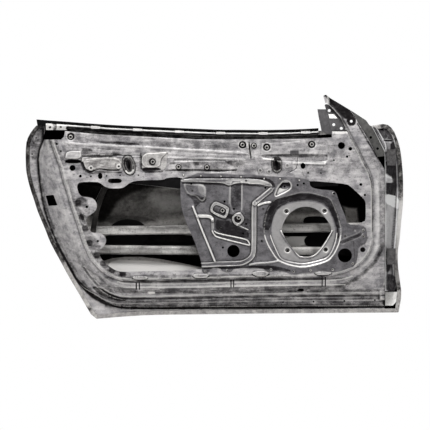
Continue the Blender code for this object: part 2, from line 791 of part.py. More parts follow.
panel_holes.append(at_depth(ring(spot(SASH_HOLE_SHARE), SASH_HOLE_RADIUS), land_depth))
for centre in spots(BOSS_CENTRE_SHARES):
    panel_creases += embossed(oval(centre, BOSS_WIDTH, BOSS_LENGTH, BOSS_TILT), 0, BOSS_HEIGHT, STEP_DRAFT)
    panel_holes.append(at_depth(oval(centre, BOSS_SLOT_WIDTH, BOSS_SLOT_LENGTH, BOSS_TILT), -BOSS_HEIGHT))
for centre in spots(CLIP_SEAT_SHARES):
    seat_loop = oval(centre, CLIP_SEAT_WIDTH, CLIP_SEAT_HEIGHT)
    panel_creases += embossed(seat_loop, 0, CLIP_SEAT_RISE, STEP_DRAFT)

inner_panel = pressing("inner_panel", bare_steel, PANEL_SHEET, panel_outline, panel_holes, panel_creases)
panel_tree = BVHTree.FromObject(inner_panel, bpy.context.evaluated_depsgraph_get())


def panel_back(place):
    """Depth just behind the inner panel at a place."""
    start = Vector((place.x, SKIN_DEPTH, place.y))
    return panel_tree.ray_cast(start, Vector((0, -1, 0)))[0].y + SEAM_GAP


latch_plate = pressing("latch_reinforcement", beam_steel, BEAM_SHEET,
                       at_depth(spots(LATCH_PLATE_SHARES), panel_back))
latch_cutter = lofted("latch_cutter", bare_steel, [
    at_depth(spots(LATCH_CUT_SHARES), depth) for depth in (-SKIN_DEPTH, SKIN_DEPTH)
])
latch_cutter.hide_render = True
latch_cutter.display_type = "WIRE"
for sheet in (inner_panel, latch_plate):
    cut = sheet.modifiers.new("latch_cut", "BOOLEAN")
    cut.object = latch_cutter
    cut.operation = "DIFFERENCE"
    cut.solver = "EXACT"

# Carrier plate over the front of the opening

carrier_face = -(SEAM_GAP + CARRIER_SHEET)
speaker_rim = spots(SPEAKER_RIM_SHARES)
carrier_creases = embossed(speaker_rim, carrier_face, -SPEAKER_RECESS, SPEAKER_DRAFT)
carrier_holes = [at_depth(spots(SPEAKER_CUT_SHARES), carrier_face + SPEAKER_RECESS)]
carrier_holes += [at_depth(ring(centre, radius), carrier_face)
                  for centre, radius in zip(spots(CARRIER_HOLE_SHARES), CARRIER_HOLE_RADII)]
for path in CARRIER_RIB_SHARES:
    carrier_creases += embossed(band(spots(path), RIB_WIDTH), carrier_face, RIB_HEIGHT, RIB_DRAFT)
for outline in CARRIER_PAD_SHARES:
    carrier_creases += embossed(spots(outline), carrier_face, PAD_HEIGHT, STEP_DRAFT)
for outline in (CARRIER_CHANNEL_SHARES, CARRIER_POCKET_SHARES, CARRIER_TEARDROP_SHARES):
    hollow = rounded(spots(outline), CARRIER_CORNER)
    carrier_creases += embossed(hollow, carrier_face, -POCKET_DEPTH, STEP_DRAFT)
pressing("carrier_plate", plate_grey, CARRIER_SHEET, at_depth(spots(CARRIER_EDGE_SHARES), carrier_face),
         carrier_holes, carrier_creases)

# Belt line: black strip over the skin's top edge and the pale rail inside it


def belt_rail_depth(place):
    return skin_depth(place) - BELT_RAIL_STANDOFF


def strip_depth(place):
    return belt_rail_depth(place) + TRIM_SHEET + SEAM_GAP


def leaning_depth(place):
    return belt_rail_depth(place) - BELT_RAIL_LEAN


strip_low = lowered(top_line, STRIP_WIDTH)
strip_outline = at_depth(strip_low + top_line[::-1], strip_depth)
pressing("belt_strip", strip_rubber, BELT_RAIL_STANDOFF, strip_outline)

rail_start = spots(BELT_RAIL_START_SHARES)
tab_ends = [centre.x + side * BELT_TAB_WIDTH / 2
            for centre in spots(BELT_RAIL_TAB_SHARES) for side in (-1, 1)]


def on_line(path, x):
    """Place on a path that runs from left to right, at a given x."""
    for near, far in zip(path, path[1:]):
        if x <= far.x:
            break
    return near.lerp(far, (x - near.x) / (far.x - near.x))


rail_top = [place for place in strip_low if place.x > rail_start[-1].x and
            not any(left <= place.x <= right for left, right in zip(tab_ends[::2], tab_ends[1::2]))]
tab_step = Vector((0, BELT_TAB_RISE))
for left, right in zip(tab_ends[::2], tab_ends[1::2]):
    low, high = on_line(strip_low, left), on_line(strip_low, right)
    rail_top += [low, low + tab_step + Vector((SEAM_GAP, 0)), high + tab_step - Vector((SEAM_GAP, 0)), high]
rail_top.sort(key=lambda place: place.x)
rail_fold = lowered([place for place in strip_low if place.x > rail_start[-1].x], BELT_RAIL_FLANGE)
rail_foot = lowered([place for place in strip_low if place.x > rail_start[-1].x], BELT_RAIL_HEIGHT)
rail_outline = (
    at_depth(rail_start + rail_top + rail_fold[-1:], belt_rail_depth)
    + at_depth(rail_foot[::-1], leaning_depth) + at_depth(spots(BELT_RAIL_END_SHARES), belt_rail_depth)
)
pressing("belt_rail_outer", pale_primer, TRIM_SHEET, rail_outline,
         creases=[at_depth(rail_fold, belt_rail_depth)])

# Waist beam behind the top of the inner panel

waist_seat = PANEL_SHEET + SEAM_GAP
waist_crown = spots(WAIST_BEAM_CROWN_SHARES)
waist_beam_edge = at_depth(spots(WAIST_BEAM_EDGE_SHARES), waist_seat)
waist_creases = [[waist_beam_edge[-1], waist_beam_edge[0]]]
waist_creases += embossed(waist_crown, waist_seat, -WAIST_BEAM_CROWN, WAIST_BEAM_CROWN)
waist_beam_outline = waist_beam_edge + at_depth(spots(WAIST_SKIRT_SHARES), waist_seat + WAIST_SKIRT_LEAN)
pressing("belt_rail_inner", beam_steel, BEAM_SHEET, waist_beam_outline, creases=waist_creases)

# Small plates welded on the waist

plate_face = -(SEAM_GAP + TRIM_SHEET)
pressing("waist_patch", bare_steel, TRIM_SHEET, at_depth(spots(PATCH_SHARES), plate_face))
dish = spots(DISH_SHARES)
dish_centre = spot(DISH_CENTRE_SHARE)
pressing("dish_plate", bare_steel, TRIM_SHEET, at_depth(dish, plate_face), creases=(
    embossed(inset(dish, STEP_DRAFT), plate_face, DISH_RISE, STEP_DRAFT)
    + embossed(ring(dish_centre, DISH_RADIUS), plate_face - DISH_RISE, -DISH_RISE, STEP_DRAFT)
))
pressing("waist_bracket", bare_steel, TRIM_SHEET, at_depth(spots(BRACKET_SHARES), plate_face))

# Sash: dark flange, mirror bracket with its pad, and the glass guide post

flange_outer = spots(SASH_FLANGE_EDGE_SHARES)
flange_inner = beside(rim_top, -EDGE_GAP)
pressing("sash_flange", dark_primer, TRIM_SHEET, at_depth(flange_inner + flange_outer, rim_depth), [
    at_depth(ring(centre, SASH_FLANGE_BORE), rim_depth) for centre in spots(SASH_FLANGE_HOLE_SHARES)
])


def bracket_depth(place):
    return land_depth(place) + PANEL_SHEET + BRACKET_GAP


def post_depth(place):
    return bracket_depth(place) + TRIM_SHEET + SEAM_GAP


def pad_depth(place):
    return bracket_depth(place) - TRIM_SHEET - SEAM_GAP


pressing("mirror_bracket", dark_primer, TRIM_SHEET, at_depth(spots(MIRROR_BRACKET_SHARES), bracket_depth), [
    at_depth(ring(centre, MIRROR_BORE), bracket_depth) for centre in spots(MIRROR_HOLE_SHARES)
])
pressing("mirror_pad", pale_primer, TRIM_SHEET, at_depth(spots(MIRROR_PAD_SHARES), pad_depth))
post_crease = spots(POST_CREASE_SHARES)
pressing("window_guide_post", dark_primer, TRIM_SHEET, at_depth(spots(POST_SHARES), post_depth),
         creases=[at_depth(post_crease, post_depth)])

# Front wall, between the inner panel's rim and the skin's folded edge, with the two hinge seats

wall_inner = beside(flange_outer[2:5], EDGE_GAP)
wall_inner += beside(rim_low[2::-1] + [spot(HINGE_WALL_END_SHARE)], EDGE_GAP)
wall_flange = flange_line[len(latch_edge + sill_edge) + 1:len(skin_edge) - len(belt_edge)]
hinge_foot = spots(HINGE_FOOT_SHARES)
wall_outline = at_depth(wall_inner, rim_depth)
wall_outline += at_depth(hinge_foot[-1:] + wall_flange + hinge_foot[:1], flange_depth)
hinge_wall = pressing("hinge_wall", dark_primer, PANEL_SHEET, wall_outline,
                      creases=[at_depth(hinge_foot, flange_depth)])
wall_tree = BVHTree.FromObject(hinge_wall, bpy.context.evaluated_depsgraph_get())


def wall_face(place):
    """Depth just before the front wall at a place."""
    start = Vector((place.x, -SKIN_DEPTH, place.y))
    return wall_tree.ray_cast(start, Vector((0, 1, 0)))[0].y - HINGE_SEAT_GAP


seat_front_depth = seat_back_depth - HINGE_SEAT_WIDTH
for name, seat in (("hinge_seat_lower", seat_low), ("hinge_seat_upper", seat_high)):
    levels = []
    for height in (seat.y - HINGE_SEAT_HEIGHT / 2, seat.y + HINGE_SEAT_HEIGHT / 2):
        nose = Vector((seat.x + HINGE_SEAT_NOSE, height))
        face = Vector((seat.x + HINGE_SEAT_REACH, height))
        levels.append([
            Vector((nose.x, wall_face(nose) - HINGE_SEAT_NOSE_DEPTH, height)),
            Vector((face.x, seat_front_depth, height)), Vector((face.x, seat_back_depth, height)),
            Vector((nose.x, wall_face(nose), height)),
        ])
    block = lofted(name, zinc, levels)
    for half_turn in (-1, 1):
        rise = half_turn * HINGE_BORE_SPACING / 2
        middle = ring(Vector((seat_middle_depth, seat.y + rise)), HINGE_BORE_RADIUS, HEAD_SIDES)
        bore = lofted(f"{name}_bore", zinc, [
            [Vector((face.x + reach, place.x, place.y)) for place in middle]
            for reach in (-HINGE_BORE_DEPTH, HINGE_BORE_DEPTH)
        ])
        bore.hide_render = True
        bore.display_type = "WIRE"
        cut = block.modifiers.new("bore", "BOOLEAN")
        cut.object = bore
        cut.operation = "DIFFERENCE"
        cut.solver = "EXACT"


def on_skin(place):
    """Depth of a thin plate that lies on the skin."""
    return skin_depth(place) - PAD_GAP - TRIM_SHEET


pressing("sill_filler", pale_primer, TRIM_SHEET, at_depth(spots(SILL_FILLER_SHARES), on_skin))

# Impact beams from wall to wall, hat-shaped with their lips to the skin


def clear_run(start, along):
    """Distance from a start to the door's end wall, less a seam gap."""
    hits = [tree.ray_cast(start, Vector((along, 0, 0)))[3] for tree in (panel_tree, wall_tree)]
    return min(hit for hit in hits if hit) - SEAM_GAP


def beam(name, ends, height):
    """Hat-shaped bar on a straight line between two places, lengthened to the walls."""
    crown = min(skin_depth(place) for place in ends) - BEAM_BACK_GAP - BEAM_CROWN
    base = crown + BEAM_CROWN
    half, lip = height / 2, height / 2 + BEAM_LIP
    top = half - BEAM_DRAFT
    outside = [(-lip, base), (-half, base), (-top, crown), (top, crown), (half, base), (lip, base)]
    inside = [(rise, depth + BEAM_SHEET) for rise, depth in outside]
    inside[2], inside[3] = (-top + BEAM_SHEET, crown + BEAM_SHEET), (top - BEAM_SHEET, crown + BEAM_SHEET)
    inside[1], inside[4] = (-half + BEAM_SHEET, base + BEAM_SHEET), (half - BEAM_SHEET, base + BEAM_SHEET)
    section = outside + inside[::-1]
    sections = []
    for end, along in ((ends[0], -1), (ends[1], 1)):
        reach = min(clear_run(Vector((end.x, depth, end.y + rise)), along) for rise, depth in section)
        sections.append([Vector((end.x + along * reach, depth, end.y + rise)) for rise, depth in section])
    return lofted(name, beam_steel, sections)


beam("upper_impact_beam", spots(UPPER_BEAM_SHARES), BEAM_HEIGHT)
beam("lower_impact_beam", spots(LOWER_BEAM_SHARES), BEAM_HEIGHT)

# Rear glass guide, a channel whose ends bend to the back of the inner panel

rail_places = spots(RAIL_PATH_SHARES)
rail_depths = [RAIL_DEPTH] * len(rail_places)
rail_depths[0], rail_depths[-1] = panel_back(rail_places[0]), panel_back(rail_places[-1])
half = RAIL_WIDTH / 2
inner_half, floor = half - TRIM_SHEET, RAIL_LIP - TRIM_SHEET
channel = [
    (-half, 0), (-inner_half, 0), (-inner_half, floor), (inner_half, floor),
    (inner_half, 0), (half, 0), (half, RAIL_LIP), (-half, RAIL_LIP),
]
lofted("rear_guide_rail", beam_steel, [
    [Vector((place.x + across, depth + deep, place.y)) for across, deep in channel]
    for place, depth in zip(rail_places, rail_depths)
])

# Damping pads on the skin

for name, shares in (("damping_pad_rear", REAR_PAD_SHARES), ("damping_pad_front", FRONT_PAD_SHARES)):
    pressing(name, tar, TRIM_SHEET, at_depth(spots(shares), on_skin))

# Fasteners

carrier_seat = carrier_face - SEAM_GAP
rivet_mesh = headed("rivet", RIVET_RADIUS, RIVET_HEIGHT, zinc)
screw_mesh = headed("screw", SCREW_RADIUS, SCREW_HEIGHT, zinc)
nut_mesh = headed("nut", NUT_RADIUS, NUT_HEIGHT, zinc)
bolt_mesh = headed("bolt", BOLT_RADIUS, BOLT_HEIGHT, zinc)
place_copies("carrier_rivet", rivet_mesh, zinc, RIVET_SHARES, carrier_seat)
place_copies("carrier_screw", screw_mesh, zinc, SCREW_SHARES, carrier_seat)
place_copies("speaker_nut", nut_mesh, zinc, NUT_SHARES, carrier_seat + SPEAKER_RECESS)
place_copies("waist_bolt", bolt_mesh, zinc, WAIST_BOLT_SHARES, -SEAM_GAP)
place_copies("dish_bolt", bolt_mesh, zinc, [DISH_CENTRE_SHARE], plate_face - SEAM_GAP)
place_copies("pad_bolt", bolt_mesh, zinc, PAD_BOLT_SHARES, carrier_seat - PAD_HEIGHT)
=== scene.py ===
"""A car's left front door as a bare shell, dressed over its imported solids.

Places in the tables are millimetres across and up from the door's lower latch-side corner. The cabin is
towards -Y, and depths are metres behind the face that the trim panel would lie on.
"""

import math

import bmesh
import bpy
import numpy as np
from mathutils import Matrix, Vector
from mathutils.geometry import delaunay_2d_cdt


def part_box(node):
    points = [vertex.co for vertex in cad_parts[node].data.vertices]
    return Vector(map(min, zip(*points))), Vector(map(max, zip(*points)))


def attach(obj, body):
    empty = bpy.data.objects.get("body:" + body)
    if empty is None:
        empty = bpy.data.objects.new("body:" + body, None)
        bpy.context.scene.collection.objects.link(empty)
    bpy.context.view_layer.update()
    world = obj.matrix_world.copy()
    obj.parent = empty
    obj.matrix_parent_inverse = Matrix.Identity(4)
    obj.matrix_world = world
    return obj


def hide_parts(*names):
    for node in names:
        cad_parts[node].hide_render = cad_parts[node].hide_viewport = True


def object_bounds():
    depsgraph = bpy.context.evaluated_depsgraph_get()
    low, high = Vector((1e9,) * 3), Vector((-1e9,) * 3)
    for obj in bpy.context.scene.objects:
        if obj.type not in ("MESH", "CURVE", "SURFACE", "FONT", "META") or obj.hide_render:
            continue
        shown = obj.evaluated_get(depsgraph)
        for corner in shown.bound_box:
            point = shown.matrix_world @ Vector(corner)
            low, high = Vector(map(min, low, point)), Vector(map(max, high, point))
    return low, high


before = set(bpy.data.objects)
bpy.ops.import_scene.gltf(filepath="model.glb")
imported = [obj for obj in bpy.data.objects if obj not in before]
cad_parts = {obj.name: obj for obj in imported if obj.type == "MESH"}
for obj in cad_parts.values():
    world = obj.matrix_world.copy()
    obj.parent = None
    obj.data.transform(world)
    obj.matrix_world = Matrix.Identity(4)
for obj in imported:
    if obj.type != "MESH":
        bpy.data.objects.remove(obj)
cad_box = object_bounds()

# Outer skin: the panel the street sees, drawn from thin galvanised sheet.
# It is fullest below its middle, and its edge is folded over the inner panel's flange as a hem.
# The helpers that shape sheet metal and lay dirt, rubbing, painted light and painted shade on it come first.

MM = 0.001
TRIM_FACE = -0.056
DOOR_CORNER = (-1.3708, -0.23184)
DOOR_SIZE = (1.4, 0.828)
SKIN_SHEET = 0.0012
# The skin's depth where it is fullest, how far it tucks in at sill and belt, its bow, and where it is fullest
SKIN_DEPTH, SILL_TUCK, BELT_TUCK, SKIN_BOW = 0.125, 0.04, 0.09, 0.015
BELOW_FULLEST, ABOVE_FULLEST = 0.45, 0.55
CREASE_ANGLE = math.radians(50)
# Points nearer to each other on a loop, or to an edge or a hole, would only make slivers
SAME_PLACE, EDGE_GAP, HOLE_GAP = 0.0004, 0.0009, 0.0007


def plane(table):
    """World x and z of places in millimetres from the door's lower latch-side corner."""
    return np.array(table, float).reshape(-1, 2) * MM + DOOR_CORNER


def across(x_mm):
    """World x of one place."""
    return plane([(x_mm, 0)])[0, 0]


def oblong(x0, z0, x1, z1):
    """Corners of a rectangle between two opposite ones."""
    return [(x0, z0), (x1, z0), (x1, z1), (x0, z1)]


def ring(x_mm, z_mm, radius, count=8):
    """Corners of a ring of places round one."""
    return [(x_mm + radius * math.cos(k), z_mm + radius * math.sin(k)) for k in np.arange(count) * math.tau / count]


def softened(path, rounds=2, closed=True):
    """A path with its corners cut to curves."""
    for _ in range(rounds):
        ahead = np.roll(path, -1, axis=0) if closed else path[1:]
        here = path if closed else path[:-1]
        cut = np.empty((2 * len(here), 2))
        cut[0::2] = here * 0.75 + ahead * 0.25
        cut[1::2] = here * 0.25 + ahead * 0.75
        path = cut if closed else np.vstack([path[:1], cut, path[-1:]])
    return path


def spaced(path, step, closed=True):
    """Points along a path about a step apart, its corners kept."""
    ends = np.roll(path, -1, axis=0) if closed else path[1:]
    points = []
    for start, end in zip(path, ends):
        count = max(1, round(float(np.hypot(*(end - start))) / step))
        points.append(start + (end - start) * np.arange(count)[:, None] / count)
    if not closed:
        points.append(path[-1:])
    return np.vstack(points)


def merged(path, gap):
    """A path without points that lie nearer than a gap to the one before."""
    kept = [path[0]]
    for point in path[1:]:
        if np.hypot(*(point - kept[-1])) > gap:
            kept.append(point)
    if len(kept) > 3 and np.hypot(*(kept[-1] - kept[0])) < gap:
        kept.pop()
    return np.array(kept)


def distance(points, path, closed=True):
    """How far each point lies from a path."""
    nearest = np.full(len(points), 1e9)
    ends = np.roll(path, -1, axis=0) if closed else path[1:]
    for start, end in zip(path, ends):
        run = end - start
        length = float(run @ run) or 1e-12
        away = points - start
        along = np.clip(away @ run / length, 0, 1)
        away -= along[:, None] * run
        nearest = np.minimum(nearest, away[:, 0] ** 2 + away[:, 1] ** 2)
    return np.sqrt(nearest)


def inside(points, loop):
    """Whether each point lies within a loop."""
    within = np.zeros(len(points), bool)
    for (ax, az), (bx, bz) in zip(loop, np.roll(loop, -1, axis=0)):
        if az != bz:
            crossing = (az > points[:, 1]) != (bz > points[:, 1])
            within ^= crossing & (points[:, 0] < ax + (bx - ax) * (points[:, 1] - az) / (bz - az))
    return within


def depth_in(points, loop):
    """How far each point lies inside a loop, less than zero outside it."""
    return np.where(inside(points, loop), 1, -1) * distance(points, loop)
def close_to(points, loop, margin=0):
    """Whether each point lies in the circle round a loop, or a margin outside it."""
    middle = loop.mean(axis=0)
    return np.hypot(*(points - middle).T) < np.hypot(*(loop - middle).T).max() + margin


def normals(path):
    """Unit vectors to the left of an open path."""
    run = np.gradient(path, axis=0)
    return np.column_stack([-run[:, 1], run[:, 0]]) / np.hypot(*run.T)[:, None]


def inset(loop, by):
    """A loop moved inwards, its corners kept."""
    before, after = np.roll(loop, 1, axis=0), np.roll(loop, -1, axis=0)
    come = (loop - before) / np.hypot(*(loop - before).T)[:, None]
    leave = (after - loop) / np.hypot(*(after - loop).T)[:, None]
    mitre = come + leave
    mitre = np.column_stack([-mitre[:, 1], mitre[:, 0]])
    area = np.sum(loop[:, 0] * after[:, 1] - after[:, 0] * loop[:, 1])
    size = np.maximum((mitre ** 2).sum(axis=1), 0.8)
    return loop + mitre * (np.sign(area) * 2 * by / size)[:, None]
def ease(value):
    """0 to 1 with a soft start and end."""
    value = np.clip(value, 0, 1)
    return value * value * (3 - 2 * value)


def thinned(points, cell, taken=None):
    """The first point in each square cell, apart from cells that taken points hold."""
    keys = np.floor(points / cell).astype(np.int64)
    keys = keys[:, 0] * 100003 + keys[:, 1]
    _, first = np.unique(keys, return_index=True)
    first = np.sort(first)
    if taken is not None and len(taken):
        mark_amount = np.floor(taken / cell).astype(np.int64)
        first = first[~np.isin(keys[first], mark_amount[:, 0] * 100003 + mark_amount[:, 1])]
    return points[first]


def add_object(name, mesh, finish, nodes=()):
    """Object of a mesh that rides on the door and stands for CAD nodes."""
    piece = bpy.data.objects.new(name, mesh)
    bpy.context.collection.objects.link(piece)
    if finish:
        mesh.materials.clear()
        mesh.materials.append(finish)
    if nodes:
        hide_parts(*nodes)
    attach(piece, "root")
    return piece


def standing_out(points, depth, reach):
    """How far each point stands out from the sheet round it, as a share of a reach."""
    turns = np.arange(6) / 6 * math.tau
    around = sum(depth(points + (math.cos(turn) * reach, math.sin(turn) * reach)) for turn in turns) / 6
    return (around - depth(points)) / reach


def pressed(name, outline, depth, sheet, pitch, holes=(), rows=(), marks=None, apart=0.0011):
    """Sheet-metal mesh over an outline: its cabin face at a depth from a function, its back a sheet behind."""
    loops = [merged(loop, SAME_PLACE) for loop in (outline, *holes)]
    fixed, edges = [], []
    for loop in loops:
        start, count = sum(map(len, fixed)), len(loop)
        fixed.append(loop)
        edges += [(start + i, start + (i + 1) % count) for i in range(count)]
    fixed = np.vstack(fixed)
    loose = np.empty((0, 2))
    if len(rows):
        loose = thinned(np.vstack(rows), apart, fixed)
    low, high = fixed.min(axis=0), fixed.max(axis=0)
    xs = np.arange(low[0], high[0], pitch)
    zs = np.arange(low[1], high[1], pitch * 0.866)
    grid = np.array([(x + (i % 2) * pitch / 2, z) for i, z in enumerate(zs) for x in xs])
    grid = thinned(grid, pitch * 0.55, np.vstack([fixed, loose]))
    loose = np.vstack([loose, grid])
    clear = depth_in(loose, loops[0]) > EDGE_GAP
    for hole in loops[1:]:
        near = clear & close_to(loose, hole, 0.002)
        clear[near] = depth_in(loose[near], hole) < -HOLE_GAP
    points = np.vstack([fixed, loose[clear]])
    places, _, faces, _, _, _ = delaunay_2d_cdt([Vector(p) for p in points], edges, [], 0, 1e-6, False)
    places = np.array([(p.x, p.y) for p in places])
    faces = np.array([face for face in faces if len(face) == 3])
    middles = places[faces].mean(axis=1)
    kept = inside(middles, loops[0])
    for hole in loops[1:]:
        near = close_to(middles, hole)
        kept[near] &= ~inside(middles[near], hole)
    faces = faces[kept]
    used = np.unique(faces)
    renumber = np.full(len(places), -1)
    renumber[used] = np.arange(len(used))
    faces, places = renumber[faces], places[used]
    front = np.column_stack([places[:, 0], depth(places), places[:, 1]])
    back = front + (0, sheet, 0)
    count = len(front)
    a, b, c = (front[faces[:, i]] for i in range(3))
    flip = np.cross(b - a, c - a)[:, 1] > 0
    faces[flip] = faces[flip][:, ::-1]
    sides = np.vstack([faces[:, [0, 1]], faces[:, [1, 2]], faces[:, [2, 0]]])
    keys = set(map(tuple, sides.tolist()))
    walls = [(i, j, j + count, i + count)[::-1] for i, j in keys if (j, i) not in keys]
    mesh = bpy.data.meshes.new(name)
    mesh.from_pydata(np.vstack([front, back]).tolist(), [],
                     faces.tolist() + (faces[:, ::-1] + count).tolist() + walls)
    mesh.shade_smooth()
    mesh.set_sharp_from_angle(angle=CREASE_ANGLE)
    mesh.validate()
    mark_amount, rubbed_and_lit = marks(places) if marks else (np.zeros(count), np.zeros(count))
    # Ridges are marked to be painted bright as highlights and hollows to be painted dark as shade, on top of the
    # rubbed and lit areas
    fine, broad = (standing_out(places, depth, reach) for reach in (0.0025, 0.008))
    wear_and_relief_light = np.clip(fine * 1.5, -1, 0.45) + np.clip(broad * 1.2, -0.6, 0.25)
    for word, values in (("wear_and_relief_light", np.clip(wear_and_relief_light + rubbed_and_lit, -1, 1)), ("grime_and_shade", mark_amount)):
        mark = mesh.attributes.new(word, "FLOAT", "POINT")
        mark.data.foreach_set("value", np.concatenate([values, values * 0]).astype(np.float32))
    return mesh


def door_shares(points):
    """How far along and up the door each point lies, from 0 to 1."""
    return ((points - DOOR_CORNER) / DOOR_SIZE).T


def skin_face(points):
    """World y of the skin's inner face, fullest below its middle and tucked in above and below."""
    along, up = door_shares(points)
    low = SILL_TUCK * (1 - up / BELOW_FULLEST) ** 2
    high = BELT_TUCK * ((up - BELOW_FULLEST) / ABOVE_FULLEST) ** 2
    tuck = np.where(up < BELOW_FULLEST, low, high)
    return TRIM_FACE + SKIN_DEPTH - tuck - SKIN_BOW * (2 * along - 1) ** 2


def linear(code):
    """Linear colour of an sRGB hex value."""
    parts = [int(code[i:i + 2], 16) / 255 for i in (1, 3, 5)]
    return tuple(p / 12.92 if p <= 0.04045 else ((p + 0.055) / 1.055) ** 2.4 for p in parts) + (1,)


def add(tree, kind, settings=None, links=None):
    """A node with its settings, and its inputs set to values or linked from sockets."""
    made = tree.nodes.new(kind)
    for name, value in (settings or {}).items():
        setattr(made, name, value)
    for name, value in (links or {}).items():
        if isinstance(value, bpy.types.NodeSocket):
            tree.links.new(value, made.inputs[name])
        else:
            made.inputs[name].default_value = value
    return made
def noise(tree, place, size_mm, detail, roughness=0.5, distortion=0.0):
    """Value of a noise whose patches have about a size in millimetres."""
    made = add(tree, "ShaderNodeTexNoise", {}, {
        "Vector": place, "Scale": 1 / (size_mm * MM), "Detail": detail, "Roughness": roughness,
        "Distortion": distortion})
    return made.outputs["Fac"]


def reckoned(tree, operation, *values, clamp=False):
    """Result of one operation on values."""
    made = add(tree, "ShaderNodeMath", {"operation": operation, "use_clamp": clamp}, dict(enumerate(values)))
    return made.outputs[0]


def ranged(tree, value, from_low, from_high, to_low=0.0, to_high=1.0):
    """A value carried from one range into another."""
    made = add(tree, "ShaderNodeMapRange", {}, {
        "Value": value, "From Min": from_low, "From Max": from_high, "To Min": to_low, "To Max": to_high})
    return made.outputs[0]


def blended(tree, share, first, second, how="MIX"):
    """Colour that lies between two by a share."""
    made = add(tree, "ShaderNodeMix", {"data_type": "RGBA", "blend_type": how}, {0: share, 6: first, 7: second})
    return made.outputs[2]


def noted(tree, word):
    """Value that a mesh notes on its points under a word."""
    return add(tree, "ShaderNodeAttribute", {"attribute_name": word}).outputs["Fac"]


def blank_material(name):
    """New material with its node tree and its main shader."""
    made = bpy.data.materials.new(name)
    made.use_nodes = True
    return made, made.node_tree, made.node_tree.nodes["Principled BSDF"]


def mottled_steel(name, dark, light, metallic, roughness, blotch_mm=45, streak=4.0, bright="#EDEBE8",
                  dirt_and_shade="#171516", cavity_mm=20, cavity_low=0.35, patches=1.1, sheen=0.5):
    """Bare sheet: grey blotches, rolled streaks, ridges painted bright as rubbing and highlight, and grime and
    painted shade in its hollows.

    Real specks and rust pits are finer than the photograph's points, so they are drawn coarser here.
    """
    made, tree, shader = blank_material(name)
    place = add(tree, "ShaderNodeTexCoord").outputs["Object"]
    stretched = add(tree, "ShaderNodeMapping", {}, {"Vector": place, "Scale": (1 / streak, 1.0, 1.0)}).outputs[0]
    rolled = noise(tree, stretched, 12, 5.0, 0.6)
    mixed = reckoned(tree, "MULTIPLY_ADD", rolled, 0.7, noise(tree, place, blotch_mm, 6.0, 0.62, 0.4))
    mixed = reckoned(tree, "MULTIPLY_ADD", noise(tree, place, 3.5, 3.0), 0.3, mixed)
    colour = blended(tree, ranged(tree, mixed, 0.82, 1.18), linear(dark), linear(light))
    # The grime mark is dirt and painted shade: shadows under parts, dark gaps and the dark inside of the door
    # darken the colour here
    grime_and_shade = noted(tree, "grime_and_shade")
    partly = reckoned(tree, "MULTIPLY", reckoned(tree, "SUBTRACT", 1.0, grime_and_shade), grime_and_shade)
    patchy = ranged(tree, mixed, 0.8, 1.2, patches, -patches)
    mark_amount = reckoned(tree, "MULTIPLY_ADD", partly, patchy, grime_and_shade, clamp=True)
    undarkened = reckoned(tree, "POWER", reckoned(tree, "SUBTRACT", 1.0, mark_amount), 2.2)
    colour = blended(tree, undarkened, linear(dirt_and_shade), colour)
    pitted = ranged(tree, noise(tree, place, 9, 2.0, 0.7), 0.57, 0.72, 0.0, 0.55)
    colour = blended(tree, pitted, colour, linear(dirt_and_shade))
    # Painted highlight and shade: ridges and rubbed or lit areas are painted bright, hollows painted dark
    wear_and_relief_light = noted(tree, "wear_and_relief_light")
    colour = blended(tree, ranged(tree, wear_and_relief_light, 0.1, 1.0, 0.0, 0.92), colour, linear(bright))
    colour = blended(tree, ranged(tree, wear_and_relief_light, -0.8, -0.08, 0.85, 0.0), colour, linear(dirt_and_shade))
    # Painted shade: the colour darkens in corners and cavities that ambient occlusion finds
    closed = add(tree, "ShaderNodeAmbientOcclusion", {"samples": 6}, {"Distance": cavity_mm * MM}).outputs["AO"]
    colour = blended(tree, 1.0, colour, ranged(tree, closed, 0.25, 0.9, cavity_low, 1.0), "MULTIPLY")
    tree.links.new(colour, shader.inputs["Base Color"])
    for socket, full in (("Metallic", metallic), ("Specular IOR Level", sheen)):
        tree.links.new(reckoned(tree, "MULTIPLY", undarkened, full), shader.inputs[socket])
    rough = ranged(tree, rolled, 0.3, 0.7, roughness - 0.08, roughness + 0.1)
    tree.links.new(rough, shader.inputs["Roughness"])
    bump = add(tree, "ShaderNodeBump", {}, {"Height": mixed, "Strength": 0.25, "Distance": 0.0006})
    tree.links.new(bump.outputs[0], shader.inputs["Normal"])
    return made


def grained(name, dark, light, grain_mm, detail, roughness, sheen, relief=0.0):
    """Even dark finish with a grain, in relief where it has any."""
    made, tree, shader = blank_material(name)
    grain = noise(tree, add(tree, "ShaderNodeTexCoord").outputs["Object"], grain_mm, detail)
    tree.links.new(blended(tree, grain, linear(dark), linear(light)), shader.inputs["Base Color"])
    if relief:
        bump = add(tree, "ShaderNodeBump", {}, {"Height": grain, "Strength": relief, "Distance": 0.0004})
        tree.links.new(bump.outputs[0], shader.inputs["Normal"])
    shader.inputs["Roughness"].default_value = roughness
    shader.inputs["Specular IOR Level"].default_value = sheen
    return made


def area_marks(points, areas):
    """The strongest of several soft-edged areas at each point."""
    mark_amount = np.zeros(len(points))
    for table, edge, amount in areas:
        loop = softened(plane(table), 1)
        near = np.all((points > loop.min(axis=0) - edge * MM) & (points < loop.max(axis=0) + edge * MM), axis=1)
        if near.any():
            share = ease(0.5 + depth_in(points[near], loop) / (edge * MM))
            mark_amount[near] = np.maximum(mark_amount[near], amount * share)
    return mark_amount


def marks_of(grime_and_shade, polish_and_light=()):
    """Function that gives points their dirt and painted shade, and their rubbing and painted light, from tables of
    areas.
    """
    return lambda points: (area_marks(points, grime_and_shade), area_marks(points, polish_and_light))


def ribbon(table, half):
    """Narrow area along a line, half its width given in millimetres."""
    path = softened(np.array(table, float), 1, False)
    side = normals(path) * half
    return np.vstack([path + side, (path - side)[::-1]])


def area_rows(areas):
    """Rows of points along the edges of soft-edged areas."""
    rows = []
    for table, edge, _ in areas:
        loop = spaced(softened(plane(table), 1), 0.005)
        rows += [inset(loop, off * edge * MM) for off in (-0.5, 0, 0.5)]
    return rows


